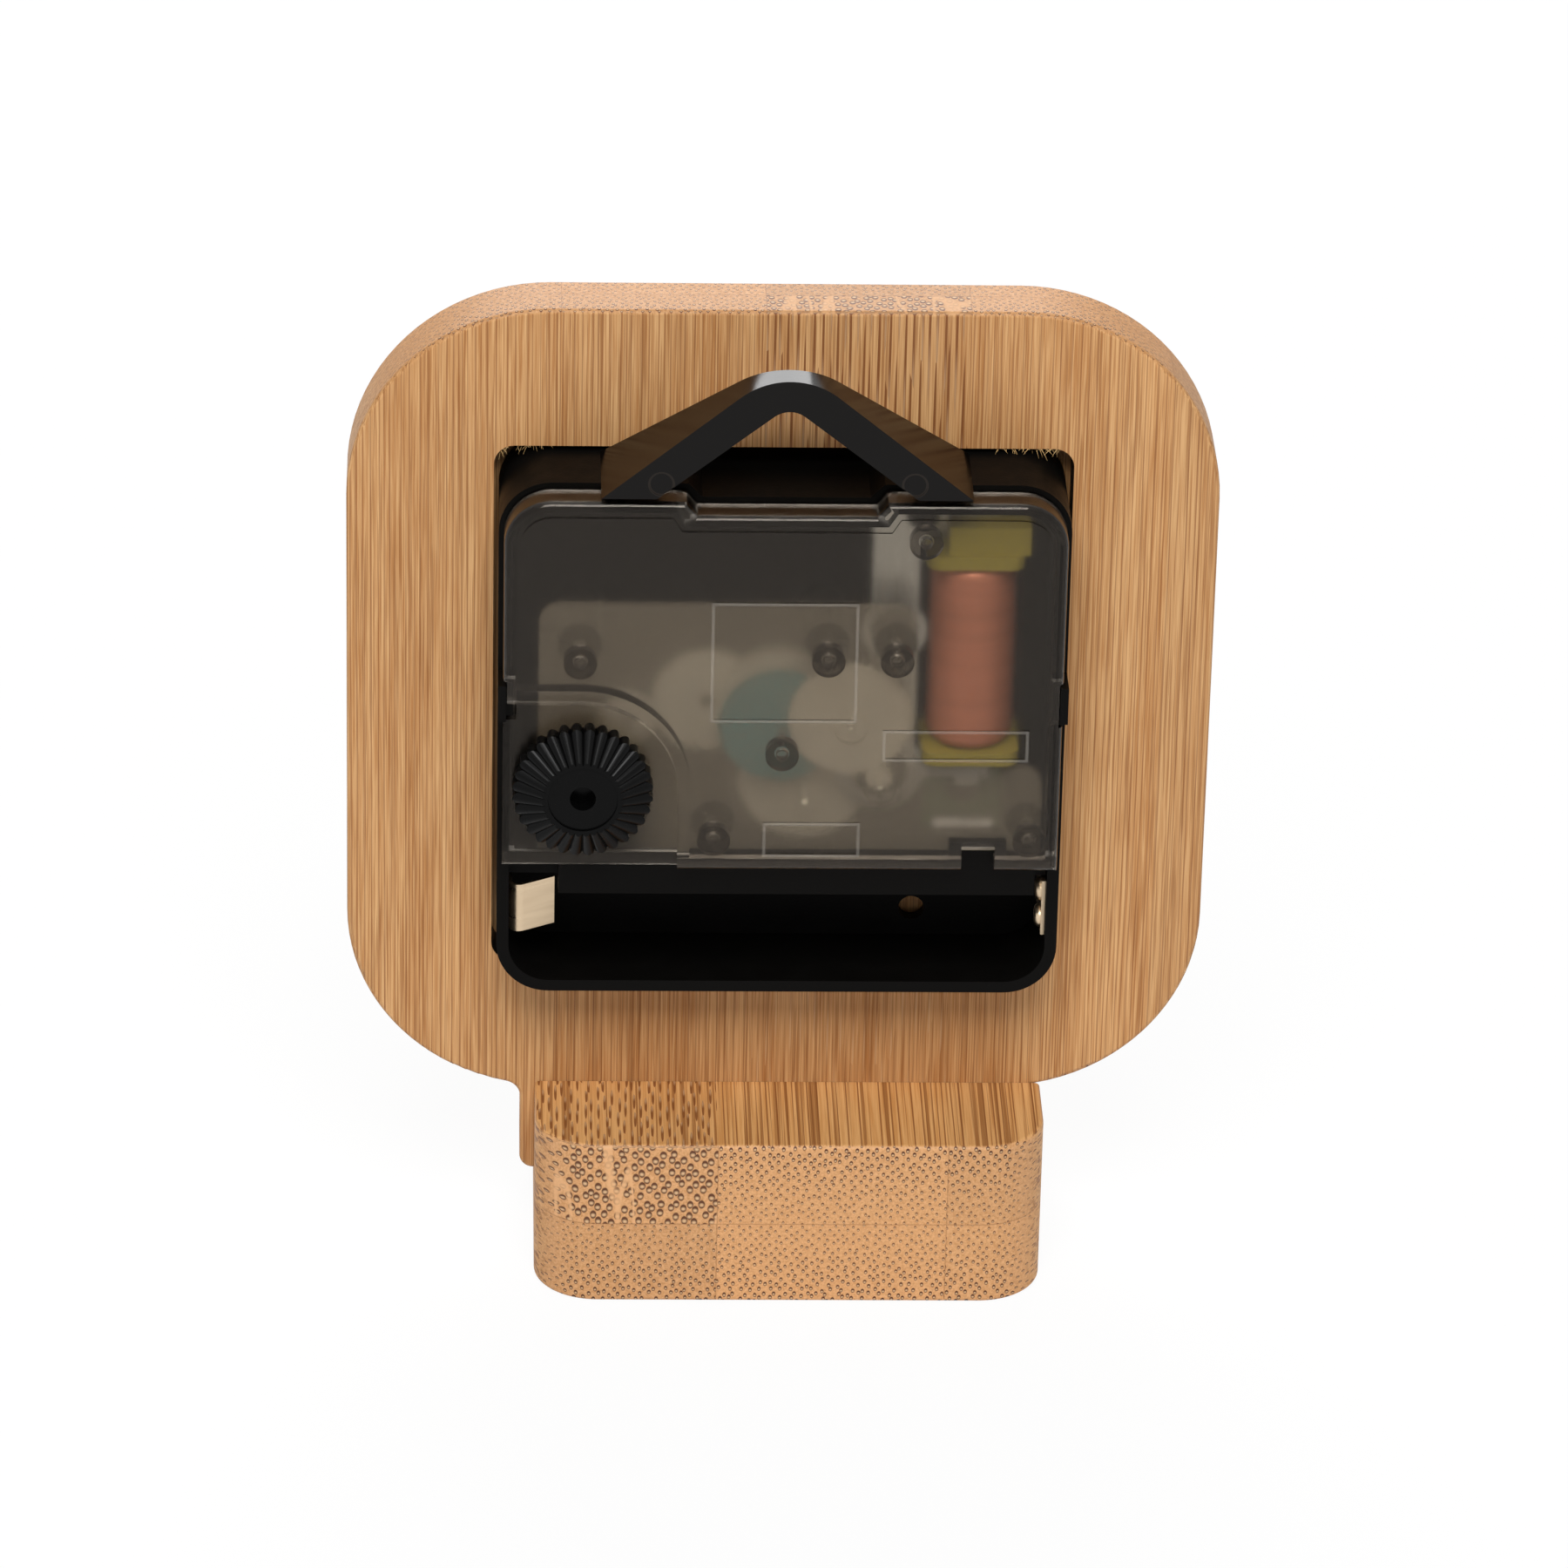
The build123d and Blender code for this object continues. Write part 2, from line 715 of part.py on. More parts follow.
parts["setting_knob"] = knob - rod(knob_x, knob_z, stud_bore, minute_y, minute_back + tooth_margin)

# Going train
intermediate_phase = rotor_angle
rotor_phase = mesh_phase(intermediate_phase, intermediate_teeth, rotor_teeth, rotor_angle)
intermediate_pinion_phase = mesh_phase(
    intermediate_angle, second_teeth, intermediate_pinion_teeth, intermediate_angle
)
third_phase = mesh_phase(third_angle, second_pinion_teeth, third_teeth, third_angle)
third_pinion_phase = mesh_phase(third_angle, centre_teeth, third_pinion_teeth, third_angle)
third_back = third_y + wheel_thick
second_back = second_y + wheel_thick
intermediate_back = intermediate_y + wheel_thick

parts["centre_wheel"] = gear(
    shaft_x, shaft_z, centre_teeth, slow_module, third_angle, centre_y, centre_back,
    minute_tube_radius + running_gap,
)

third = gear(third_x, third_z, third_teeth, train_module, third_phase, third_y, third_back)
third += gear(
    third_x, third_z, third_pinion_teeth, slow_module, third_pinion_phase, centre_y - tooth_margin, third_y
)
third += rod(third_x, third_z, pivot_radius, floor_level + end_shake, bridge_back)
parts["third_wheel"] = third

second_pinion_front = third_y - tooth_margin
second_wheel = gear(
    shaft_x, shaft_z, second_teeth, train_module, intermediate_angle,
    second_y, second_back, second_arbor_radius,
)
parts["second_wheel"] = second_wheel + gear(
    shaft_x, shaft_z, second_pinion_teeth, train_module, third_angle,
    second_pinion_front, second_y, second_arbor_radius,
)
parts["second_arbor"] = rod(shaft_x, shaft_z, second_arbor_radius, second_hand_y, bridge_back)

intermediate = gear(
    intermediate_x, intermediate_z, intermediate_teeth, train_module, intermediate_phase,
    intermediate_y, intermediate_back,
)
intermediate += gear(
    intermediate_x, intermediate_z, intermediate_pinion_teeth, train_module, intermediate_pinion_phase,
    second_y - tooth_margin, intermediate_y,
)
intermediate += rod(
    intermediate_x, intermediate_z, pivot_radius, floor_level + end_shake, bridge_back
)
parts["intermediate_wheel"] = intermediate

magnet_back = magnet_y + magnet_thick
parts["rotor_magnet"] = tube(rotor_x, rotor_z, magnet_radius, magnet_bore, magnet_y, magnet_back)
rotor = rod(rotor_x, rotor_z, magnet_bore, magnet_y, intermediate_y - tooth_margin)
rotor += gear(
    rotor_x, rotor_z, rotor_teeth, train_module, rotor_phase,
    intermediate_y - tooth_margin, intermediate_back + tooth_margin,
)
parts["rotor_pinion"] = rotor + rod(
    rotor_x, rotor_z, pivot_radius, floor_level + end_shake, bridge_back
)

# Stator: one steel plate from the coil's top end, round the rotor, to its lower end
coil_top = coil_z + coil_length
flange_low = coil_z - flange_thick
flange_high = coil_top + flange_thick
column_right = shaft_x - stator_column_across
column_left = column_right - stator_column_width
arm_left = coil_x - core_width
arm_low = flange_high + stator_gap
stator = Pos(rotor_x, rotor_z) * Circle(magnet_radius + rotor_hole_clearance + stator_rim)
stator += rectangle(column_left, column_right, rotor_z, arm_low + stator_top_arm)
stator += rectangle(arm_left, column_right, arm_low, arm_low + stator_top_arm)
stator += rectangle(arm_left, rotor_x, flange_low - stator_gap - stator_arm, flange_low - stator_gap)
for x, z in bridge_posts[2:3]:
    stator += Pos(x, z) * Circle(post_radius + stator_lug)
    stator -= Pos(x, z) * Circle(post_radius + moulding_gap)
stator -= Pos(*coil_post) * Circle(coil_post_radius + moulding_gap)
stator -= Pos(rotor_x, rotor_z) * Circle(magnet_radius + rotor_hole_clearance)
parts["stator"] = slab(stator, stator_y, core_y)

# Coil: core, bobbin and winding, with the axis along Z
parts["coil_core"] = block(
    coil_x - core_width / 2, coil_x + core_width / 2, core_y, core_y + core_thick,
    flange_low - core_overhang, flange_high + core_overhang,
)
bobbin = Pos(coil_x, coil_y, flange_low) * Cylinder(
    bobbin_radius, flange_high - flange_low, align=(Align.CENTER, Align.CENTER, Align.MIN)
)
for z in (flange_low, coil_top):
    bobbin += Pos(coil_x, coil_y, z) * extrude(
        RectangleRounded(flange_width, flange_depth, coil_end_round), amount=flange_thick
    )
terminal_x = coil_x - terminal_shift
terminal_y = core_y + core_thick + stator_gap
bobbin += block(
    terminal_x - terminal_width / 2, terminal_x + terminal_width / 2, terminal_y, terminal_y + terminal_depth,
    flange_high, flange_high + terminal_height,
)
core_half = core_width / 2 + core_clearance
parts["coil_bobbin"] = bobbin - block(
    coil_x - core_half, coil_x + core_half, core_y - core_clearance, core_y + core_thick + core_clearance,
    flange_low - overrun, flange_high + overrun,
)
winding = Pos(coil_x, coil_y, coil_z) * Cylinder(
    coil_radius, coil_length, align=(Align.CENTER, Align.CENTER, Align.MIN)
)
winding = fillet(winding.edges(), coil_end_round)
parts["coil_winding"] = winding - Pos(coil_x, coil_y, coil_z) * Cylinder(
    bobbin_radius, coil_length, align=(Align.CENTER, Align.CENTER, Align.MIN)
)

# Bridge
bridge = make_face(Polyline(
    (shaft_x + bridge_left, shaft_z - bridge_bottom), (shaft_x + bridge_left, shaft_z + bridge_top),
    (shaft_x - bridge_step_across, shaft_z + bridge_top),
    (shaft_x - bridge_step_across, shaft_z - bridge_step_down),
    (shaft_x - bridge_right, shaft_z - bridge_step_down),
    (shaft_x - bridge_right, shaft_z - bridge_bottom), close=True,
))
bridge = fillet(bridge.vertices(), bridge_corner)
bridge = slab(bridge, bridge_y, bridge_back)
boss_back = bridge_back + bridge_boss_rise
for x, z in ((minute_x, minute_z), (intermediate_x, intermediate_z), (rotor_x, rotor_z)):
    bridge += rod(x, z, bridge_boss_radius, bridge_back, boss_back)
for x, z in ((third_x, third_z), (intermediate_x, intermediate_z), (rotor_x, rotor_z)):
    bridge -= rod(x, z, pivot_radius + pivot_clearance, bridge_y, boss_back)
pin_hole_radius = post_pin_radius + pivot_clearance
pin_hole_back = bridge_y + post_pin_length + pivot_clearance
for x, z in bridge_posts:
    bridge -= rod(x, z, pin_hole_radius, bridge_y, pin_hole_back)
bridge -= rod(shaft_x, shaft_z, second_arbor_radius + pivot_clearance, bridge_y, bridge_back)
bridge -= rod(knob_x, knob_z, knob_stem_radius + knob_stem_clearance, bridge_y, bridge_back)
parts["gear_bridge"] = bridge

# Circuit board with its sealed chip and crystal can
board_x = shaft_x - board_across
board_z = shaft_z - board_down
board_y = floor_level + board_standoff
board_back = board_y + board_thick
parts["circuit_board"] = slab(
    Pos(board_x, board_z) * Rectangle(board_width, board_height), board_y, board_back
)
chip_z = board_z + board_height / 2 - chip_radius
chip = rod(board_x, chip_z, chip_radius, board_back, board_back + chip_height)
parts["chip_blob"] = fillet(chip.faces().sort_by(Axis.Y)[-1].edges(), chip_height / 2)
crystal_z = board_z - board_height / 2 + crystal_radius
can = Rot(0, 90, 0) * Cylinder(crystal_radius, crystal_length)
parts["quartz_crystal"] = Pos(board_x, board_back + crystal_radius, crystal_z) * can

# Battery contacts
wall_left = shaft_x + inner_half
strip_high = bay_high - negative_margin
strip_low = strip_high - negative_width
bend_outer = negative_bend + strip_thick / 2
bend_inner = negative_bend - strip_thick / 2
leg_top = floor_level + negative_leg
bend_x = wall_left - bend_outer
spring = Pos(wall_left - strip_thick, floor_level) * Rectangle(
    strip_thick, negative_leg, align=(Align.MIN, Align.MIN)
)
bend = Circle(bend_outer) - Circle(bend_inner)
bend -= Rectangle(2 * bend_outer + overrun, 2 * bend_outer, align=(Align.CENTER, Align.MAX))
leaf = Rectangle(2 * bend_outer + overrun, 2 * bend_outer, align=(Align.CENTER, Align.MIN))
bend -= Rot(0, 0, negative_bend_angle) * leaf
leaf = Pos(bend_inner, 0) * Rectangle(strip_thick, negative_leaf, align=(Align.MIN, Align.MIN))
bend += Rot(0, 0, negative_bend_angle) * leaf
spring += Pos(bend_x, leg_top) * bend
parts["negative_contact"] = Pos(0, 0, strip_low) * extrude(spring, amount=negative_width)

wall_right = shaft_x - inner_half
contact_z = bay_high - cell_clearance - positive_width / 2
plate_top = floor_level + positive_height
positive = block(
    wall_right, wall_right + strip_thick, floor_level, plate_top,
    contact_z - positive_width / 2, contact_z + positive_width / 2,
)
dimple = Rot(0, 90, 0) * Cylinder(
    dimple_radius, dimple_rise, align=(Align.CENTER, Align.CENTER, Align.MIN)
)
dimple = fillet(dimple.edges().sort_by(Axis.X)[-1:], dimple_round_share * dimple_rise)
for side in (-1, 1):
    positive += Pos(
        wall_right + strip_thick, plate_top - dimple_margin - dimple_radius,
        contact_z + side * dimple_pitch / 2,
    ) * dimple
parts["positive_contact"] = positive


def hand(angle, length, width, tail, bore, y_front):
    """A flat hand with a ring round its arbor, turned clockwise from twelve."""
    ring = bore + hand_ring
    tip = width * hand_tip_share / 2
    blade = make_face(Polyline(
        (-width / 2, -tail), (width / 2, -tail), (width / 2, 0), (tip, length), (-tip, length),
        (-width / 2, 0), close=True,
    ))
    profile = blade + Circle(ring) - Circle(bore)
    return slab(Pos(shaft_x, shaft_z) * Rot(0, 0, -angle) * profile, y_front, y_front + hand_thick)


parts["hour_hand"] = hand(
    hour_hand_angle, hour_hand_length, hour_hand_width, hour_hand_tail, hour_tube_radius, hour_hand_y
)
parts["minute_hand"] = hand(
    minute_hand_angle, minute_hand_length, minute_hand_width, minute_hand_tail,
    minute_tube_radius, minute_hand_y,
)
parts["second_hand"] = hand(
    second_hand_angle, second_hand_length, second_hand_width, second_hand_tail,
    second_arbor_radius, second_hand_y,
)

os.makedirs("parts", exist_ok=True)
for name, shape in parts.items():
    export_step(shape, f"parts/{name}.step")
    print(name, len(shape.solids()), round(shape.volume, 2))
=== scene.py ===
import bpy
import numpy as np
from mathutils import Matrix


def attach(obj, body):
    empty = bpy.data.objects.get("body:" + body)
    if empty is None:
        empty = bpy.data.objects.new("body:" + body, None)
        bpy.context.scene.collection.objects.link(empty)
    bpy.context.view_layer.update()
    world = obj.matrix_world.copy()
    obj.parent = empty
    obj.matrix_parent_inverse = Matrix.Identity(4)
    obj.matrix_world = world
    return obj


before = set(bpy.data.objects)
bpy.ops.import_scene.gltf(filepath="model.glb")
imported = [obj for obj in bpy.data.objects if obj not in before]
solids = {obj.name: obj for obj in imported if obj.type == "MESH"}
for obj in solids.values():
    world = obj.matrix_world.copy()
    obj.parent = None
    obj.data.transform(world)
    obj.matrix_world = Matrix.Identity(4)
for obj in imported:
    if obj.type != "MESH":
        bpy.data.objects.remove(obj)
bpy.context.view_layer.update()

# Base block: laminated bamboo strips, glued in two layers with the fibres running front to back.
# Sawn, sanded and lacquered satin, so the near face shows the cut ends of the fibre bundles.


def linear(code):
    """A hex colour as linear light: ((c + 0.055) / 1.055) ** 2.4 above 0.04045, and c / 12.92 below."""
    shown = np.array([int(code[i:i + 2], 16) for i in (1, 3, 5)]) / 255
    light = np.where(shown > 0.04045, ((shown + 0.055) / 1.055) ** 2.4, shown / 12.92)
    return (*light.tolist(), 1.0)


def node(tree, kind, inputs=None, out=0, **settings):
    """Adds one shader node with its settings; inputs holds values or the sockets that feed it.

    Returns one of the node's outputs, by number or name.
    """
    made = tree.nodes.new("ShaderNode" + kind)
    for key, value in settings.items():
        setattr(made, key, value)
    for key, value in (inputs or {}).items():
        if isinstance(value, bpy.types.NodeSocket):
            tree.links.new(value, made.inputs[key])
        else:
            made.inputs[key].default_value = value
    return made.outputs[out] if made.outputs else made


def finish(name, **values):
    """A new material with one Principled shader, and that shader's constant values."""
    made = bpy.data.materials.new(name)
    made.use_nodes = True
    tree = made.node_tree
    tree.nodes.clear()
    shader = node(tree, "BsdfPrincipled", {key.replace("_", " "): value for key, value in values.items()})
    node(tree, "OutputMaterial", {"Surface": shader})
    return made, tree, shader.node


def dress(made, *names):
    """Puts a material on CAD nodes, in place of what they were packed with."""
    for name in names:
        slots = solids[name].data.materials
        slots.clear()
        slots.append(made)


def bamboo(name, order, seams, layer, half, coarse, density, slope, dashes, contrast, fibre, fade, tones):
    """Solid bamboo: fibre bundles are spots across the board and streaks along it.

    The bundles are the cells of a flat Voronoi pattern in the plane across the fibres, on a lattice turned
    by 45 degrees. On faces that look through the layers the plane is sheared along the fibres by a small
    slope, so that such a face cuts each bundle as a long streak.

    order: the axes across the strips, through the layers and along the fibres
    seams, layer, half: the glue lines between strips and between layers, and half the thickness, in mm
    coarse: the strip that was cut near the skin, whose bundles are larger and slope by dashes
    density, slope: the bundles to a mm, and the shear of the other strips
    contrast, fibre: the strength of the streaks, and the fibre lines to a mm across and along
    fade: the stretch along the fibres over which the coarse strip's streaks come out
    tones: the light and the dark ground on faces along the fibres, and the same on the cut ends

    Returns the material, its nodes, its shader and its colour.
    """
    coarse_pitch, coarse_size, wandering = 0.74, 0.39, 0.45
    quarter_turn = np.pi / 4
    made, tree, shader = finish(name, IOR=1.5, Specular_IOR_Level=0.3)
    axes = node(tree, "SeparateXYZ", {0: node(tree, "TexCoord", out="Object")}).node.outputs
    facing = node(tree, "SeparateXYZ", {0: node(tree, "TexCoord", out="Normal")}).node.outputs
    across, through, along = (
        node(tree, "Math", {0: axes[i], 1: 1000.0}, operation="MULTIPLY") for i in order
    )
    ends = node(tree, "Math", {0: facing[order[2]]}, operation="ABSOLUTE")
    ends = node(
        tree, "MapRange", {0: ends, 1: 0.3, 2: 0.75, 3: 0.0, 4: 1.0}, interpolation_type="SMOOTHSTEP"
    )
    sideways, flatways = (
        node(
            tree, "MapRange", {0: node(tree, "Math", {0: facing[i]}, operation="ABSOLUTE"), 1: 0.4, 2: 0.8},
            interpolation_type="SMOOTHSTEP",
        )
        for i in order[:2]
    )

    # Which strip and layer a point is in, and a fixed chance value for each
    upper = node(tree, "Math", {0: through, 1: layer}, operation="GREATER_THAN")
    inward = node(tree, "Math", {0: through, 1: layer}, operation="SUBTRACT")
    inward = node(tree, "Math", {0: inward}, operation="ABSOLUTE")
    strip, nearest = upper, inward
    for seam in seams:
        side = node(tree, "Math", {0: across, 1: seam}, operation="GREATER_THAN")
        strip = node(tree, "Math", {0: side, 1: 2.0, 2: strip}, operation="MULTIPLY_ADD")
        away = node(tree, "Math", {0: across, 1: seam}, operation="SUBTRACT")
        away = node(tree, "Math", {0: away}, operation="ABSOLUTE")
        nearest = node(tree, "Math", {0: nearest, 1: away}, operation="MINIMUM")
    chance = node(tree, "TexWhiteNoise", {"W": strip}, noise_dimensions="1D").node.outputs
    low = node(tree, "Math", {0: across, 1: coarse[0]}, operation="GREATER_THAN")
    high = node(tree, "Math", {0: across, 1: coarse[1]}, operation="LESS_THAN")
    large = node(tree, "Math", {0: low, 1: high}, operation="MULTIPLY")
    large = node(tree, "Math", {0: large, 1: upper}, operation="MULTIPLY")
    aged = node(tree, "MapRange", {0: along, 1: fade[0], 2: fade[1]}, interpolation_type="SMOOTHSTEP")

    # Cells of the bundles, a third wider in the coarse strip, sheared on flat faces and wandering a little
    flat = node(tree, "CombineXYZ", {0: across, 1: through, 2: along})
    shift = node(tree, "VectorMath", {0: chance["Color"], "Scale": 40.0}, operation="SCALE")
    flat = node(tree, "VectorMath", {0: flat, 1: shift}, operation="ADD")
    tilt = node(tree, "MapRange", {0: large, 3: slope, 4: dashes})
    tilt = node(tree, "Math", {0: tilt, 1: flatways}, operation="MULTIPLY")
    pitch = node(tree, "MapRange", {0: large, 3: density, 4: coarse_pitch * density})
    slow = node(tree, "VectorMath", {0: flat, 1: (0.25, 0.25, 0.02)}, operation="MULTIPLY")
    wander = node(tree, "TexNoise", {"Vector": slow, "Scale": 1.0, "Detail": 1.0}, out="Color")
    wander = node(tree, "VectorMath", {0: wander, 1: (wandering, wandering, 0.0)}, operation="MULTIPLY")
    shear = node(tree, "Math", {0: along, 1: tilt}, operation="MULTIPLY")
    shear = node(tree, "CombineXYZ", {1: shear})
    cut = node(tree, "VectorMath", {0: flat, 1: shear}, operation="ADD")
    cut = node(tree, "VectorMath", {0: cut, 1: wander}, operation="ADD")
    cut = node(tree, "VectorMath", {0: cut, "Scale": pitch}, operation="SCALE")
    cut = node(tree, "VectorMath", {0: cut, 1: (1.0, 1.0, 0.0)}, operation="MULTIPLY")
    cut = node(tree, "VectorRotate", {"Vector": cut, "Angle": quarter_turn}, rotation_type="Z_AXIS")
    cells = node(
        tree, "TexVoronoi", {"Vector": cut, "Scale": 1.0, "Randomness": 0.5},
        voronoi_dimensions="2D", feature="F1",
    ).node.outputs
    away = node(tree, "VectorMath", {0: cut, 1: cells["Position"]}, operation="SUBTRACT")
    away = node(tree, "VectorRotate", {"Vector": away, "Angle": -quarter_turn}, rotation_type="Z_AXIS")

    # A bundle is a tall dark oval round a pale core of vessels, larger and darker towards the skin
    skin = node(tree, "Math", {0: inward, 1: half}, operation="DIVIDE")
    size = node(tree, "MapRange", {0: skin, 3: 0.2, 4: 0.3})
    size = node(tree, "Mix", {0: large, 2: size, 3: coarse_size})
    rim = node(tree, "Math", {0: size, 1: 0.72}, operation="MULTIPLY")
    core = node(tree, "Math", {0: size, 1: 0.55}, operation="MULTIPLY")
    pith = node(tree, "Math", {0: size, 1: 0.15}, operation="MULTIPLY")
    narrow = node(tree, "MapRange", {0: ends, 3: 2.5, 4: 1.0})
    tall = node(tree, "MapRange", {0: ends, 3: 0.52, 4: 0.72})
    tall = node(tree, "Mix", {0: sideways, 2: tall, 3: 1.9})
    narrow = node(tree, "Mix", {0: sideways, 2: narrow, 3: 1.0})
    narrow = node(tree, "CombineXYZ", {0: narrow, 1: tall})
    oval = node(tree, "VectorMath", {0: away, 1: narrow}, operation="MULTIPLY")
    reach = node(tree, "VectorMath", {0: oval}, out="Value", operation="LENGTH")
    dark = node(
        tree, "MapRange", {0: reach, 1: rim, 2: size, 3: 1.0, 4: 0.0}, interpolation_type="SMOOTHSTEP"
    )
    lower = node(tree, "MapRange", {0: ends, 3: 0.2, 4: 0.06})
    lower = node(tree, "CombineXYZ", {1: lower})
    vessel = node(tree, "VectorMath", {0: oval, 1: lower}, operation="ADD")
    vessel = node(tree, "VectorMath", {0: vessel, 1: (0.68, 1.1, 0.0)}, operation="MULTIPLY")
    vessel = node(tree, "VectorMath", {0: vessel}, out="Value", operation="LENGTH")
    vessel = node(tree, "MapRange", {0: vessel, 1: pith, 2: core, 3: 1.0, 4: 0.0})
    open_cut = node(tree, "Math", {0: large, 1: 0.5}, operation="MULTIPLY")
    open_cut = node(tree, "Math", {0: open_cut, 1: ends}, operation="MAXIMUM")
    vessel = node(tree, "Math", {0: vessel, 1: open_cut}, operation="MULTIPLY")

    # Rays of plain pith run through the coarse strip, about 5 mm apart and 0.5 mm wide
    ray = node(tree, "VectorMath", {0: flat, 1: (0.3, 0.05, 0.004)}, operation="MULTIPLY")
    ray = node(tree, "TexNoise", {"Vector": ray, "Scale": 1.0, "Detail": 1.0})
    ray = node(tree, "Math", {0: ray, 1: 0.5}, operation="SUBTRACT")
    ray = node(tree, "Math", {0: ray}, operation="ABSOLUTE")
    ray = node(tree, "MapRange", {0: ray, 1: 0.012, 2: 0.03, 3: 1.0, 4: 0.0})
    ray = node(tree, "Math", {0: ray, 1: large}, operation="MULTIPLY")
    ray = node(tree, "Math", {0: ray, 1: ends}, operation="MULTIPLY")

    # Dark fibre lines, fine fibres 0.17 mm apart and some 10 mm long, and broad bands
    lines = node(tree, "VectorMath", {0: flat, 1: (fibre[0], fibre[0], fibre[1])}, operation="MULTIPLY")
    lines = node(tree, "TexNoise", {"Vector": lines, "Scale": 1.0, "Detail": 2.0, "Roughness": 0.65})
    hairs = node(tree, "MapRange", {0: lines, 1: 0.53, 2: 0.61, 3: 0.0, 4: 1.0})
    fine = node(tree, "VectorMath", {0: flat, 1: (6.0, 6.0, 0.1)}, operation="MULTIPLY")
    fine = node(tree, "TexNoise", {"Vector": fine, "Scale": 1.0, "Detail": 2.0, "Roughness": 0.65})
    bands = node(tree, "VectorMath", {0: flat, 1: (0.25, 0.25, 0.005)}, operation="MULTIPLY")
    bands = node(tree, "TexNoise", {"Vector": bands, "Scale": 1.0, "Detail": 2.0})
    bands = node(tree, "Mix", {0: 0.7, 2: bands, 3: fine})
    bands = node(tree, "MapRange", {0: bands, 1: 0.36, 2: 0.64, 3: 0.0, 4: 1.0})
    flecks = node(tree, "TexNoise", {"Vector": flat, "Scale": 4.0, "Detail": 3.0, "Roughness": 0.7})
    flecks = node(tree, "MapRange", {0: flecks, 1: 0.3, 2: 0.7, 3: 0.0, 4: 1.0})
    tone = node(tree, "Mix", {0: ends, 2: bands, 3: flecks})

    # Cut ends have a ground of their own, and their bundles are darker
    light = node(tree, "Mix", {0: ends, 6: linear(tones[0]), 7: linear(tones[2])}, 2, data_type="RGBA")
    deep = node(tree, "Mix", {0: ends, 6: linear(tones[1]), 7: linear(tones[3])}, 2, data_type="RGBA")
    bundle = node(tree, "Mix", {0: ends, 6: linear("#7d4922"), 7: linear("#4c2212")}, 2, data_type="RGBA")
    colour = node(tree, "Mix", {0: tone, 6: light, 7: deep}, 2, data_type="RGBA")
    strength = node(tree, "MapRange", {0: ends, 3: contrast, 4: 0.1})
    hairs = node(tree, "Math", {0: hairs, 1: strength}, operation="MULTIPLY")
    colour = node(tree, "Mix", {0: hairs, 6: colour, 7: linear("#8c5729")}, 2, data_type="RGBA")
    shown = node(tree, "MapRange", {0: skin, 3: 0.75, 4: 1.0})
    strength = node(tree, "Mix", {0: ends, 2: contrast, 3: shown})
    bold = node(tree, "MapRange", {0: aged, 3: 0.25, 4: 0.92})
    strength = node(tree, "Mix", {0: large, 2: strength, 3: bold})
    dark = node(tree, "Math", {0: dark, 1: strength}, operation="MULTIPLY")
    colour = node(tree, "Mix", {0: dark, 6: colour, 7: bundle}, 2, data_type="RGBA")
    vessel = node(tree, "Math", {0: vessel, 1: 0.8}, operation="MULTIPLY")
    colour = node(tree, "Mix", {0: vessel, 6: colour, 7: linear("#ecc596")}, 2, data_type="RGBA")
    ray = node(tree, "Math", {0: ray, 1: 0.8}, operation="MULTIPLY")
    colour = node(tree, "Mix", {0: ray, 6: colour, 7: light}, 2, data_type="RGBA")
    glue = node(tree, "MapRange", {0: nearest, 1: 0.02, 2: 0.1, 3: 0.4, 4: 0.0})
    glue = node(tree, "Math", {0: glue, 1: ends}, operation="MULTIPLY")
    colour = node(tree, "Mix", {0: glue, 6: colour, 7: linear("#8a5a34")}, 2, data_type="RGBA")
    shade = node(tree, "MapRange", {0: chance["Value"], 3: 0.93, 4: 1.05})
    colour = node(tree, "VectorMath", {0: colour, "Scale": shade}, operation="SCALE")
    tree.links.new(colour, shader.inputs["Base Color"])

    # The softer ground wears a little below the fibre lines, by hundredths of a millimetre
    bump = node(tree, "Bump", {"Strength": 0.3, "Distance": 0.00006, "Height": hairs})
    tree.links.new(bump, shader.inputs["Normal"])
    gloss = node(tree, "MapRange", {0: tone, 3: 0.48, 4: 0.6})
    tree.links.new(gloss, shader.inputs["Roughness"])
    return made, tree, shader, colour


block = bamboo(
    "lacquered_bamboo_block", order=(0, 2, 1), seams=(7.3, -15.85), layer=9.0, half=9.0,
    coarse=(7.3, 40.0), density=1.35, slope=0.004, dashes=0.4, contrast=0.8, fibre=(2.1, 0.01),
    fade=(-40.0, -30.0), tones=("#e2ae72", "#c68c50", "#e4b07e", "#c48d58"),
)[0]
dress(block, "base_block")

# Clock plate: a bamboo board of two plies with its fibres upright, its neck pressed into the base.
# The pocket is milled, and its walls are coloured near black as painted shade. The hour marks are burnt
# into the dial side.
board, tree, shader, colour = bamboo(
    "lacquered_bamboo_board", order=(0, 1, 2), seams=(23.7, 3.7, -16.3, -36.3), layer=-0.4, half=4.0,
    coarse=(-16.3, 3.7), density=1.5, slope=0.003, dashes=0.08, contrast=0.5, fibre=(3.8, 0.05),
    fade=(55.0, 85.0), tones=("#d8a974", "#b27b47", "#cf9c6a", "#a97747"),
)
shaft = np.array((0.0017, 0.0, 0.0604))
pocket_half, wall_low, wall_high = 0.02865, -0.0011, 0.00345
mark_inner, mark_outer, mark_front, mark_floor = 0.025, 0.0395, -0.00356, -0.0032
place = node(tree, "TexCoord", out="Object")
place = node(tree, "VectorMath", {0: place, 1: shaft}, operation="SUBTRACT")
ways = node(tree, "SeparateXYZ", {0: place}).node.outputs
wide = node(tree, "Math", {0: ways[0]}, operation="ABSOLUTE")
tall = node(tree, "Math", {0: ways[2]}, operation="ABSOLUTE")
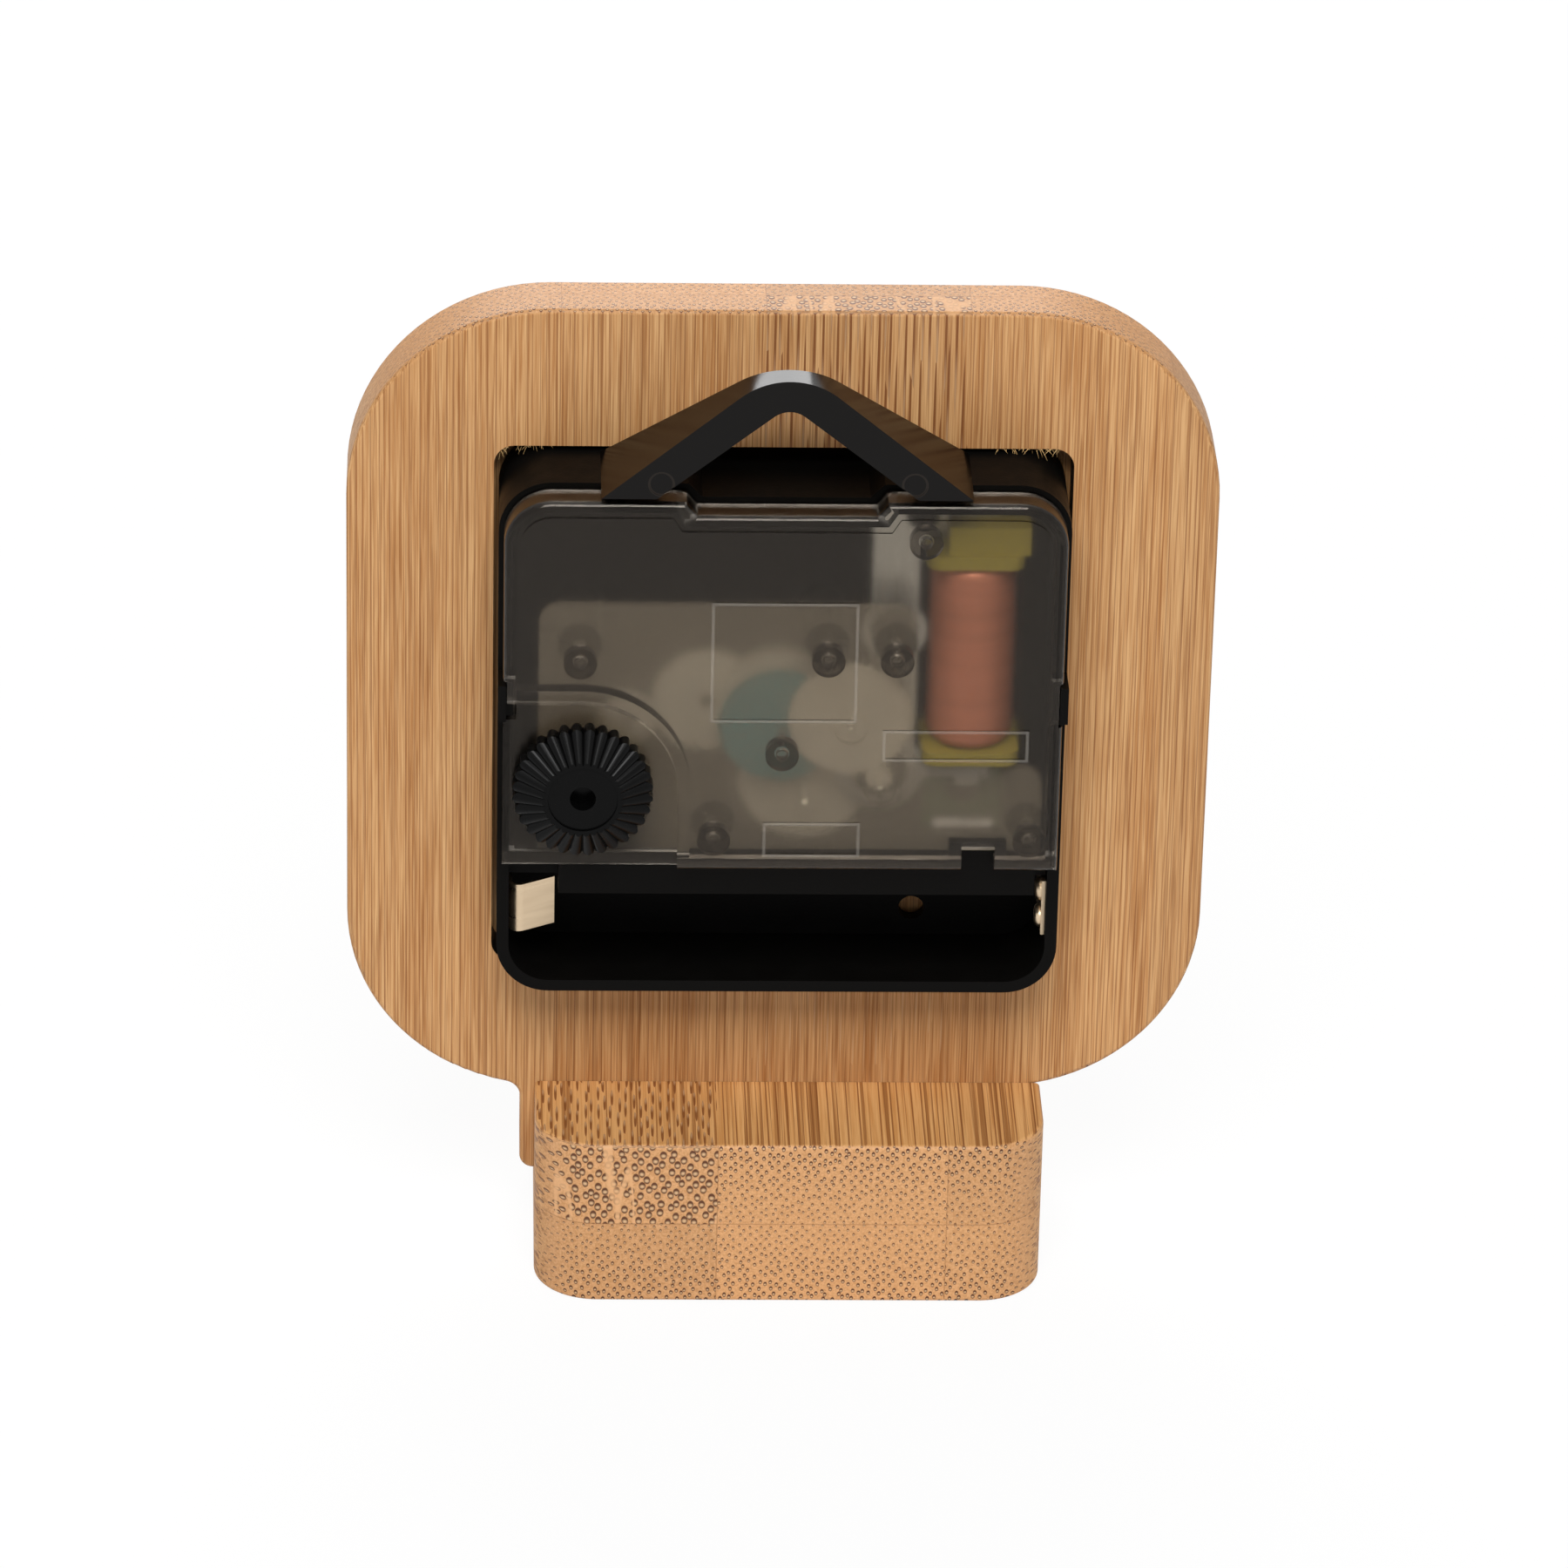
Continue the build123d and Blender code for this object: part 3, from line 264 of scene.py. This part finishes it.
spread = node(tree, "Math", {0: wide, 1: tall}, operation="MAXIMUM")
radius = node(tree, "VectorMath", {0: place, 1: (1.0, 0.0, 1.0)}, operation="MULTIPLY")
radius = node(tree, "VectorMath", {0: radius}, out="Value", operation="LENGTH")
# The first mask puts painted shade, near black, on the pocket walls; the second draws the burnt hour marks.
for tests, code in (
    (((spread, "LESS_THAN", pocket_half), (ways[1], "GREATER_THAN", wall_low),
      (ways[1], "LESS_THAN", wall_high)), "#0b0806"),
    (((radius, "GREATER_THAN", mark_inner), (radius, "LESS_THAN", mark_outer),
      (ways[1], "GREATER_THAN", mark_front), (ways[1], "LESS_THAN", mark_floor)), "#2a1a10"),
):
    mask = None
    for value, test, limit in tests:
        holds = node(tree, "Math", {0: value, 1: limit}, operation=test)
        mask = node(tree, "Math", {0: mask, 1: holds}, operation="MULTIPLY") if mask else holds
    colour = node(tree, "Mix", {0: mask, 6: colour, 7: linear(code)}, 2, data_type="RGBA")
tree.links.new(colour, shader.inputs["Base Color"])
dress(board, "clock_plate")

# Milling fuzz: torn bamboo fibres that the cutter left at the two upper corners of the pocket.
# Each is a thin tapered hair, still rooted in the edge of the board.
fuzz_count, fuzz_sides, fuzz_steps = 90, 5, 6
chance = np.random.default_rng(7)
pick = chance.random((8, fuzz_count))
left_share, droop, taper = 0.4, 0.35, 0.85
pocket_top, pocket_corner, corner_start, board_back = 0.0889, 0.002, 0.0265, 0.0035
left = pick[0] < left_share
root_x = np.where(left, 0.0246 + 0.0052 * pick[1], -0.0192 - 0.0071 * pick[1])
edge = np.maximum(np.abs(root_x - shaft[0]) - corner_start, 0)
root_z = pocket_top - pocket_corner + np.sqrt(pocket_corner ** 2 - edge ** 2)
root = np.stack((root_x, board_back - 0.0008 * pick[2], root_z + 0.00003), 1)
aim = np.stack((2.4 * (pick[3] - 0.5), 0.3 + 0.5 * pick[4], -0.15 - 0.5 * pick[5]), 1)
aim /= np.linalg.norm(aim, axis=1)[:, None]
length = 0.0003 + 0.0009 * pick[6] ** 2
thick = 0.00003 + 0.00004 * pick[7]

# At share s of its length, a hair's spine is root + aim * length * s, less droop * length * s^2 in z.
# A point at angle t is thick * (1 - taper * s) from it, along side * cos(t) + over * sin(t).
# A face closes each end.
share = np.linspace(0, 1, fuzz_steps)
angle = np.linspace(0, 2 * np.pi, fuzz_sides, endpoint=False)
side = np.cross(aim, (0.0, 1.0, 0.0))
side /= np.linalg.norm(side, axis=1)[:, None]
over = np.cross(aim, side)
spine = root[:, None] + aim[:, None] * (length[:, None] * share)[..., None]
spine[..., 2] -= droop * length[:, None] * share ** 2
ring = side[:, None] * np.cos(angle)[None, :, None] + over[:, None] * np.sin(angle)[None, :, None]
reach = thick[:, None] * (1 - taper * share)
points = (spine[:, :, None] + ring[:, None] * reach[:, :, None, None]).reshape(-1, 3)
each = fuzz_steps * fuzz_sides
i, j = np.meshgrid(np.arange(fuzz_steps - 1), np.arange(fuzz_sides), indexing="ij")
k = (j + 1) % fuzz_sides
here, beyond = i * fuzz_sides, (i + 1) * fuzz_sides
quads = np.stack((here + j, here + k, beyond + k, beyond + j), -1)
quads = (np.arange(fuzz_count)[:, None, None] * each + quads.reshape(1, -1, 4)).reshape(-1, 4).tolist()
first = np.arange(fuzz_count)[:, None] * each + np.arange(fuzz_sides)[::-1]
last = np.arange(fuzz_count)[:, None] * each + each - fuzz_sides + np.arange(fuzz_sides)
data = bpy.data.meshes.new("milling_fuzz")
data.from_pydata(points.tolist(), [], quads + first.tolist() + last.tolist())
fuzz = bpy.data.objects.new("milling_fuzz", data)
bpy.context.scene.collection.objects.link(fuzz)
fibre, tree, shader = finish("torn_bamboo_fibre", Roughness=0.7, Specular_IOR_Level=0.2)
spot = node(tree, "TexCoord", out="Object")
grey = node(tree, "TexNoise", {"Vector": spot, "Scale": 2500.0, "Detail": 1.0})
straw = node(tree, "Mix", {0: grey, 6: linear("#e0c08a"), 7: linear("#b58a4c")}, 2, data_type="RGBA")
tree.links.new(straw, shader.inputs["Base Color"])
data.materials.append(fibre)
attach(fuzz, "frame")

# Movement case: black ABS tray, moulded in a tool that was sparked fine, so its faces are dull and grained.
# Its bush goes through the plate and the nut on the dial side holds it in the pocket.


def moulding(tree, shader, grain, depth, smooth=None, rough=None):
    """The skin of a moulding: bumps of the tool's spark grain, grain apart and depth high in mm.

    Roughness wanders between smooth and rough over patches ten grains wide, where they are given.
    """
    spot = node(tree, "TexCoord", out="Object")
    bumps = node(tree, "TexNoise", {"Vector": spot, "Scale": 1000.0 / grain, "Detail": 1.0})
    bump = node(tree, "Bump", {"Strength": 0.5, "Distance": depth / 1000.0, "Height": bumps})
    tree.links.new(bump, shader.inputs["Normal"])
    if smooth is None:
        return
    patches = node(tree, "TexNoise", {"Vector": spot, "Scale": 100.0 / grain, "Detail": 2.0})
    gloss = node(tree, "MapRange", {0: patches, 1: 0.3, 2: 0.7, 3: smooth, 4: rough})
    tree.links.new(gloss, shader.inputs["Roughness"])


# A spark grain of 0.1 mm is drawn at 0.3 mm, because finer doesn't show
tray, tree, shader = finish(
    "moulded_abs_black", Base_Color=linear("#070605"), IOR=1.53, Specular_IOR_Level=0.06
)
moulding(tree, shader, 0.3, 0.02, 0.42, 0.55)
dress(tray, "movement_case")

# Hanger: black ABS moulding that clips on the top of the case, satin on its face and glossy on its roof.
# The ejector pins of the tool left two round marks on its feet, with a painted highlight: a pale ring on
# their rims for the glint of light on their edges.


def nearest_of(tree, places):
    """The distance from a point to the nearest of some places (x, z), seen along Y."""
    spot = node(tree, "TexCoord", out="Object")
    spot = node(tree, "VectorMath", {0: spot, 1: (1.0, 0.0, 1.0)}, operation="MULTIPLY")
    near = None
    for x, z in places:
        away = node(tree, "VectorMath", {0: spot, 1: (x, 0.0, z)}, out="Value", operation="DISTANCE")
        near = node(tree, "Math", {0: near, 1: away}, operation="MINIMUM") if near else away
    return near


hanger, tree, shader = finish("satin_abs_black", IOR=1.53, Specular_IOR_Level=0.14)
moulding(tree, shader, 0.3, 0.006)
mark_places, mark_ring, mark_line = ((0.014, 0.09), (-0.0106, 0.09)), 0.00118, 0.00012
mark = nearest_of(tree, mark_places)
mark = node(tree, "Math", {0: mark, 1: mark_ring, 2: mark_line}, operation="COMPARE")
# Painted highlight: a pale ring on the rims of the marks stands in for light glinting on their edges.
rim_glint = node(tree, "Mix", {0: mark, 6: linear("#0a0807"), 7: linear("#241f1b")}, 2, data_type="RGBA")
tree.links.new(rim_glint, shader.inputs["Base Color"])
facing = node(tree, "SeparateXYZ", {0: node(tree, "TexCoord", out="Normal")}).node.outputs[1]
gloss = node(tree, "MapRange", {0: facing, 1: 0.5, 2: 0.9, 3: 0.16, 4: 0.42})
tree.links.new(gloss, shader.inputs["Roughness"])
dress(hanger, "wall_hanger")

# Washers and nut: a rubber seal behind the plate, and a turned brass washer and nut on the dial side.
# Turning leaves fine rings round the shaft, about 0.15 mm apart.
rubber, tree, shader = finish("moulded_rubber", Base_Color=linear("#1a1a1a"), Specular_IOR_Level=0.3)
moulding(tree, shader, 0.4, 0.02, 0.65, 0.8)
dress(rubber, "rubber_washer")
turning_mm = 0.15
brass, tree, shader = finish("turned_brass", Base_Color=linear("#d8b365"), Metallic=1.0)
spot = node(tree, "TexCoord", out="Object")
spot = node(tree, "VectorMath", {0: spot, 1: shaft}, operation="SUBTRACT")
spot = node(tree, "VectorMath", {0: spot, 1: (1.0, 0.0, 1.0)}, operation="MULTIPLY")
rings = node(tree, "VectorMath", {0: spot}, out="Value", operation="LENGTH")
rings = node(tree, "CombineXYZ", {0: rings})
rings = node(tree, "TexNoise", {"Vector": rings, "Scale": 1000.0 / turning_mm, "Detail": 1.0})
bump = node(tree, "Bump", {"Strength": 0.3, "Distance": 0.00002, "Height": rings})
tree.links.new(bump, shader.inputs["Normal"])
gloss = node(tree, "MapRange", {0: rings, 3: 0.18, 4: 0.36})
tree.links.new(gloss, shader.inputs["Roughness"])
dress(brass, "brass_washer", "hex_nut")

# Wheels and bridge: natural acetal mouldings, milky and a little see-through, and one teal wheel.
# They stand on steel arbors between the case and the bridge.
for name, code, clear, names in (
    ("milky_acetal", "#a8a194", 0.28, ("gear_bridge",)),
    ("natural_acetal", "#e8e4d8", 1.0, (
        "third_wheel", "intermediate_wheel", "minute_wheel", "hour_wheel", "setting_wheel",
        "rotor_pinion", "centre_wheel", "minute_arbor",
    )),
    ("teal_acetal", "#1f93a0", 1.0, ("second_wheel",)),
):
    acetal, tree, shader = finish(name, IOR=1.48, Alpha=clear, Specular_IOR_Level=0.3)
    moulding(tree, shader, 0.5, 0.006, 0.36, 0.5)
    spot = node(tree, "TexCoord", out="Object")
    cloud = node(tree, "TexNoise", {"Vector": spot, "Scale": 160.0, "Detail": 2.0})
    dim = [share * value for share, value in zip((0.86, 0.87, 0.9), linear(code))] + [1.0]
    cloud = node(tree, "Mix", {0: cloud, 6: linear(code), 7: dim}, 2, data_type="RGBA")
    tree.links.new(cloud, shader.inputs["Base Color"])
    dress(acetal, *names)

# Motor: soft iron stator and core, stamped and drawn, a ferrite rotor, and the arbor of the second hand.
# Rolling leaves faint lines along the sheet, drawn 0.3 mm apart.
for name, code, metal, smooth, rough, names in (
    ("stamped_iron", "#d9dad8", 1.0, 0.24, 0.42, ("stator", "coil_core")),
    ("drawn_steel", "#cfd0d2", 1.0, 0.16, 0.3, ("second_arbor", "quartz_crystal")),
    ("sintered_ferrite", "#3a3a3c", 0.6, 0.45, 0.6, ("rotor_magnet",)),
):
    iron, tree, shader = finish(name, Base_Color=linear(code), Metallic=metal)
    spot = node(tree, "TexCoord", out="Object")
    rolled = node(tree, "VectorMath", {0: spot, 1: (3300.0, 3300.0, 60.0)}, operation="MULTIPLY")
    rolled = node(tree, "TexNoise", {"Vector": rolled, "Scale": 1.0, "Detail": 1.0})
    gloss = node(tree, "MapRange", {0: rolled, 1: 0.3, 2: 0.7, 3: smooth, 4: rough})
    tree.links.new(gloss, shader.inputs["Roughness"])
    dress(iron, *names)

# Coil: enamelled copper wire wound on an olive nylon bobbin.
# The wire is 0.04 mm thick and is drawn as turns 0.25 mm apart, because finer turns don't show.
winding_mm, wave_unit = 0.25, 20.0
copper, tree, shader = finish("enamelled_copper_wire", Metallic=0.35, IOR=1.5)
spot = node(tree, "TexCoord", out="Object")
turns = node(
    tree, "TexWave",
    {"Vector": spot, "Scale": 1000.0 / winding_mm / wave_unit, "Distortion": 0.6, "Detail": 1.0},
    wave_type="BANDS", bands_direction="Z", wave_profile="SIN",
)
bump = node(tree, "Bump", {"Strength": 0.35, "Distance": 0.00003, "Height": turns})
tree.links.new(bump, shader.inputs["Normal"])
layers = node(tree, "VectorMath", {0: spot, 1: (40.0, 40.0, 900.0)}, operation="MULTIPLY")
layers = node(tree, "TexNoise", {"Vector": layers, "Scale": 1.0, "Detail": 2.0})
wire = node(tree, "Mix", {0: layers, 6: linear("#d08870"), 7: linear("#ac7059")}, 2, data_type="RGBA")
tree.links.new(wire, shader.inputs["Base Color"])
gloss = node(tree, "MapRange", {0: layers, 3: 0.34, 4: 0.5})
tree.links.new(gloss, shader.inputs["Roughness"])
dress(copper, "coil_winding")
olive, tree, shader = finish("olive_nylon", Base_Color=linear("#90863a"), IOR=1.53, Specular_IOR_Level=0.3)
moulding(tree, shader, 0.4, 0.01, 0.36, 0.5)
dress(olive, "coil_bobbin")

# Circuit board: green solder mask over copper tracks, with a blob of epoxy on the chip.
# The tracks are drawn as a faint square pattern, 1.2 mm apart.
track_mm = 1.2
mask, tree, shader = finish("green_solder_mask", IOR=1.5)
spot = node(tree, "TexCoord", out="Object")
tracks = node(tree, "TexVoronoi", {"Vector": spot, "Scale": 1000.0 / track_mm}, distance="CHEBYCHEV")
tracks = node(tree, "MapRange", {0: tracks, 1: 0.3, 2: 0.4, 3: 0.0, 4: 1.0})
green = node(tree, "Mix", {0: tracks, 6: linear("#3e6a3a"), 7: linear("#5a8350")}, 2, data_type="RGBA")
tree.links.new(green, shader.inputs["Base Color"])
gloss = node(tree, "MapRange", {0: tracks, 3: 0.3, 4: 0.4})
tree.links.new(gloss, shader.inputs["Roughness"])
dress(mask, "circuit_board")
epoxy, tree, shader = finish("potting_epoxy", Base_Color=linear("#141414"), IOR=1.55)
moulding(tree, shader, 0.9, 0.02, 0.18, 0.32)
dress(epoxy, "chip_blob")

# Battery contacts: spring strip, stamped, bent and nickel plated, with a faint rolled grain.
# The plating is given a warm tint, because it mirrors the wood around it.
plated, tree, shader = finish("nickel_plated_spring", Base_Color=linear("#dac3a4"), Metallic=1.0)
spot = node(tree, "TexCoord", out="Object")
rolled = node(tree, "VectorMath", {0: spot, 1: (150.0, 150.0, 3000.0)}, operation="MULTIPLY")
rolled = node(tree, "TexNoise", {"Vector": rolled, "Scale": 1.0, "Detail": 2.0})
gloss = node(tree, "MapRange", {0: rolled, 1: 0.3, 2: 0.7, 3: 0.26, 4: 0.42})
tree.links.new(gloss, shader.inputs["Roughness"])
dress(plated, "negative_contact", "positive_contact")

# Rear cover: smoky clear polystyrene moulding, polished outside and frosted within by the tool's texture.
# The case's two catches hold it by notches in its rim. Lamps reach the works through it.
frost_level, polish_level = 0.0140, 0.0146
frosted, polished, boss_gloss = 0.25, 0.05, 0.05
boss_radius, boss_bore, boss_top = 0.0017, 0.00075, 0.01385
raised_level, raised_glint_clear = 0.01515, 0.85
pebble_mm = 0.9
bosses = (
    (0.0017, 0.0604), (0.021664, 0.07034), (-0.002668, 0.070704), (-0.009416, 0.070704),
    (-0.02294, 0.050992), (0.008308, 0.050992), (-0.011908, 0.083528),
)
# Its gloss is tinted warm, a painted reflection of the wood around it.
smoke, tree, shader = finish("smoky_polystyrene", IOR=1.57, Specular_Tint=linear("#b2a9a0"))
spot = node(tree, "TexCoord", out="Object")
ways = node(tree, "SeparateXYZ", {0: spot}).node.outputs
gloss = node(tree, "MapRange", {0: ways[1], 1: frost_level, 2: polish_level, 3: frosted, 4: polished})
pebble = node(tree, "TexNoise", {"Vector": spot, "Scale": 1000.0 / pebble_mm, "Detail": 1.0})
bump = node(tree, "Bump", {"Strength": 0.05, "Distance": 0.0001, "Height": pebble})
tree.links.new(bump, shader.inputs["Normal"])
near = nearest_of(tree, bosses)
within = node(tree, "Math", {0: near, 1: boss_radius}, operation="LESS_THAN")
solid = node(tree, "Math", {0: near, 1: boss_bore}, operation="GREATER_THAN")
within = node(tree, "Math", {0: within, 1: solid}, operation="MULTIPLY")
under = node(tree, "Math", {0: ways[1], 1: boss_top}, operation="LESS_THAN")
within = node(tree, "Math", {0: within, 1: under}, operation="MULTIPLY")
gloss = node(tree, "Mix", {0: within, 2: gloss, 3: boss_gloss})
tree.links.new(gloss, shader.inputs["Roughness"])
facing = node(tree, "SeparateXYZ", {0: node(tree, "TexCoord", out="Normal")}).node.outputs[1]
facing = node(tree, "Math", {0: facing}, operation="ABSOLUTE")
edgeways = node(tree, "MapRange", {0: facing, 1: 0.5, 2: 0.95, 3: 1.0, 4: 0.0})
dense = node(tree, "Math", {0: within, 1: edgeways}, operation="MAXIMUM")
tint = node(tree, "Mix", {0: dense, 6: linear("#c6c0b7"), 7: linear("#3a342e")}, 2, data_type="RGBA")
tree.links.new(tint, shader.inputs["Base Color"])
# Painted highlight: the raised frame lines let less light through, so the pale tint shows on them for the
# glints on their edges.
raised_glint = node(tree, "Math", {0: ways[1], 1: raised_level}, operation="GREATER_THAN")
raised_glint = node(tree, "MapRange", {0: raised_glint, 3: 1.0, 4: raised_glint_clear})
tree.links.new(raised_glint, shader.inputs["Transmission Weight"])
path = node(tree, "LightPath", out="Is Shadow Ray")
clear = node(tree, "BsdfTransparent", {0: linear("#e2ddd6")})
mixed = node(tree, "MixShader", {0: path, 1: shader.outputs[0], 2: clear})
tree.links.new(mixed, tree.nodes["Material Output"].inputs["Surface"])
dress(smoke, "rear_cover")

# Setting knob: black acetal, moulded in one with its flutes, stem and pinion.
# It turns in the cover and is smoother than the case.
acetal, tree, shader = finish(
    "moulded_acetal_black", Base_Color=linear("#050505"), IOR=1.48, Specular_IOR_Level=0.1
)
moulding(tree, shader, 0.35, 0.008, 0.22, 0.34)
dress(acetal, "setting_knob")

# Hands: stamped aluminium, lacquered black.
# They are pressed on the hour wheel and the two arbors, and turn with them.
lacquer, tree, shader = finish("black_lacquer", Base_Color=linear("#101010"), IOR=1.5)
moulding(tree, shader, 0.6, 0.004, 0.24, 0.4)
dress(lacquer, "hour_hand", "minute_hand", "second_hand")

# Floor: a plain white sheet under the clock, seen by the camera as the white of the background.
# What the camera, the gloss and the clear parts see of it is nearly all plain white, with a faint shadow.
floor_half, plain_white = 3.0, 0.93
corners = [(x * floor_half, y * floor_half, 0.0) for x, y in ((-1, -1), (1, -1), (1, 1), (-1, 1))]
data = bpy.data.meshes.new("floor")
data.from_pydata(corners, [], [(0, 1, 2, 3)])
floor = bpy.data.objects.new("floor", data)
bpy.context.scene.collection.objects.link(floor)
paper, tree, shader = finish("white_paper", Base_Color=(0.9, 0.9, 0.9, 1.0), Roughness=0.9)
rays = node(tree, "LightPath").node.outputs
seen = node(tree, "Math", {0: rays["Is Camera Ray"], 1: rays["Is Glossy Ray"]}, operation="MAXIMUM")
seen = node(tree, "Math", {0: seen, 1: rays["Is Transmission Ray"]}, operation="MAXIMUM")
share = node(tree, "Math", {0: seen, 1: plain_white}, operation="MULTIPLY")
glow = node(tree, "Emission", {0: (1.0, 1.0, 1.0, 1.0), 1: 1.0})
mixed = node(tree, "MixShader", {0: share, 1: shader.outputs[0], 2: glow})
tree.links.new(mixed, tree.nodes["Material Output"].inputs["Surface"])
data.materials.append(paper)

# Studio light: a white room that gives little light, one soft lamp high behind the camera, and a second
# one on the dial side.
world = bpy.data.worlds.new("white_room")
world.use_nodes = True
bpy.context.scene.world = world
tree = world.node_tree
tree.nodes.clear()
rays = node(tree, "LightPath").node.outputs
seen = node(tree, "Math", {0: rays["Is Camera Ray"], 1: rays["Is Transmission Ray"]}, operation="MAXIMUM")
seen = node(tree, "Math", {0: seen, 1: rays["Is Glossy Ray"]}, operation="MAXIMUM")
room_light, room_seen = 0.13, 1.0
level = node(tree, "MapRange", {0: seen, 3: room_light, 4: room_seen})
room = node(tree, "Background", {0: (1.0, 1.0, 1.0, 1.0), 1: level})
node(tree, "OutputWorld", {0: room})


def lamp(name, place, target, size, power):
    """A square soft lamp at a place, facing a target; its back is turned along place - target."""
    data = bpy.data.lights.new(name, "AREA")
    data.size = size
    data.energy = power
    made = bpy.data.objects.new(name, data)
    away = np.array(place) - np.array(target)
    away /= np.linalg.norm(away)
    side = np.cross((0.0, 0.0, 1.0), away)
    side /= np.linalg.norm(side)
    turn = np.eye(4)
    turn[:3, 0], turn[:3, 1], turn[:3, 2], turn[:3, 3] = side, np.cross(away, side), away, place
    made.matrix_world = Matrix(turn.tolist())
    bpy.context.scene.collection.objects.link(made)


middle = (0.0, 0.0, 0.055)
lamp("key_softbox", (0.03, 0.64, 0.84), middle, 0.5, 9.8)
lamp("front_softbox", (0.05, -0.75, 0.6), middle, 0.6, 6.0)

# Camera: a long lens behind the clock, 27 degrees above it, as a product photograph is taken.
# Its place and turn were fitted to edges of the plate, the pocket and the base.
yaw, pitch, roll = np.radians((2.246, 26.767, 1.309))
forward = np.array((-np.sin(yaw) * np.cos(pitch), -np.cos(yaw) * np.cos(pitch), -np.sin(pitch)))
right = np.array((-np.cos(yaw), np.sin(yaw), 0.0))
up = np.cross(right, forward)
turn = np.eye(4)
turn[:3, 0] = np.cos(roll) * right + np.sin(roll) * up
turn[:3, 1] = np.cos(roll) * up - np.sin(roll) * right
turn[:3, 2] = -forward
turn[:3, 3] = (0.03151, 0.78058, 0.44414)
lens = bpy.data.cameras.new("camera")
lens.lens = 200.0
lens.sensor_width = 36.0
lens.clip_start = 0.01
camera = bpy.data.objects.new("camera", lens)
camera.matrix_world = Matrix(turn.tolist())
bpy.context.scene.collection.objects.link(camera)
bpy.context.scene.camera = camera
bpy.context.scene.view_settings.view_transform = "Standard"
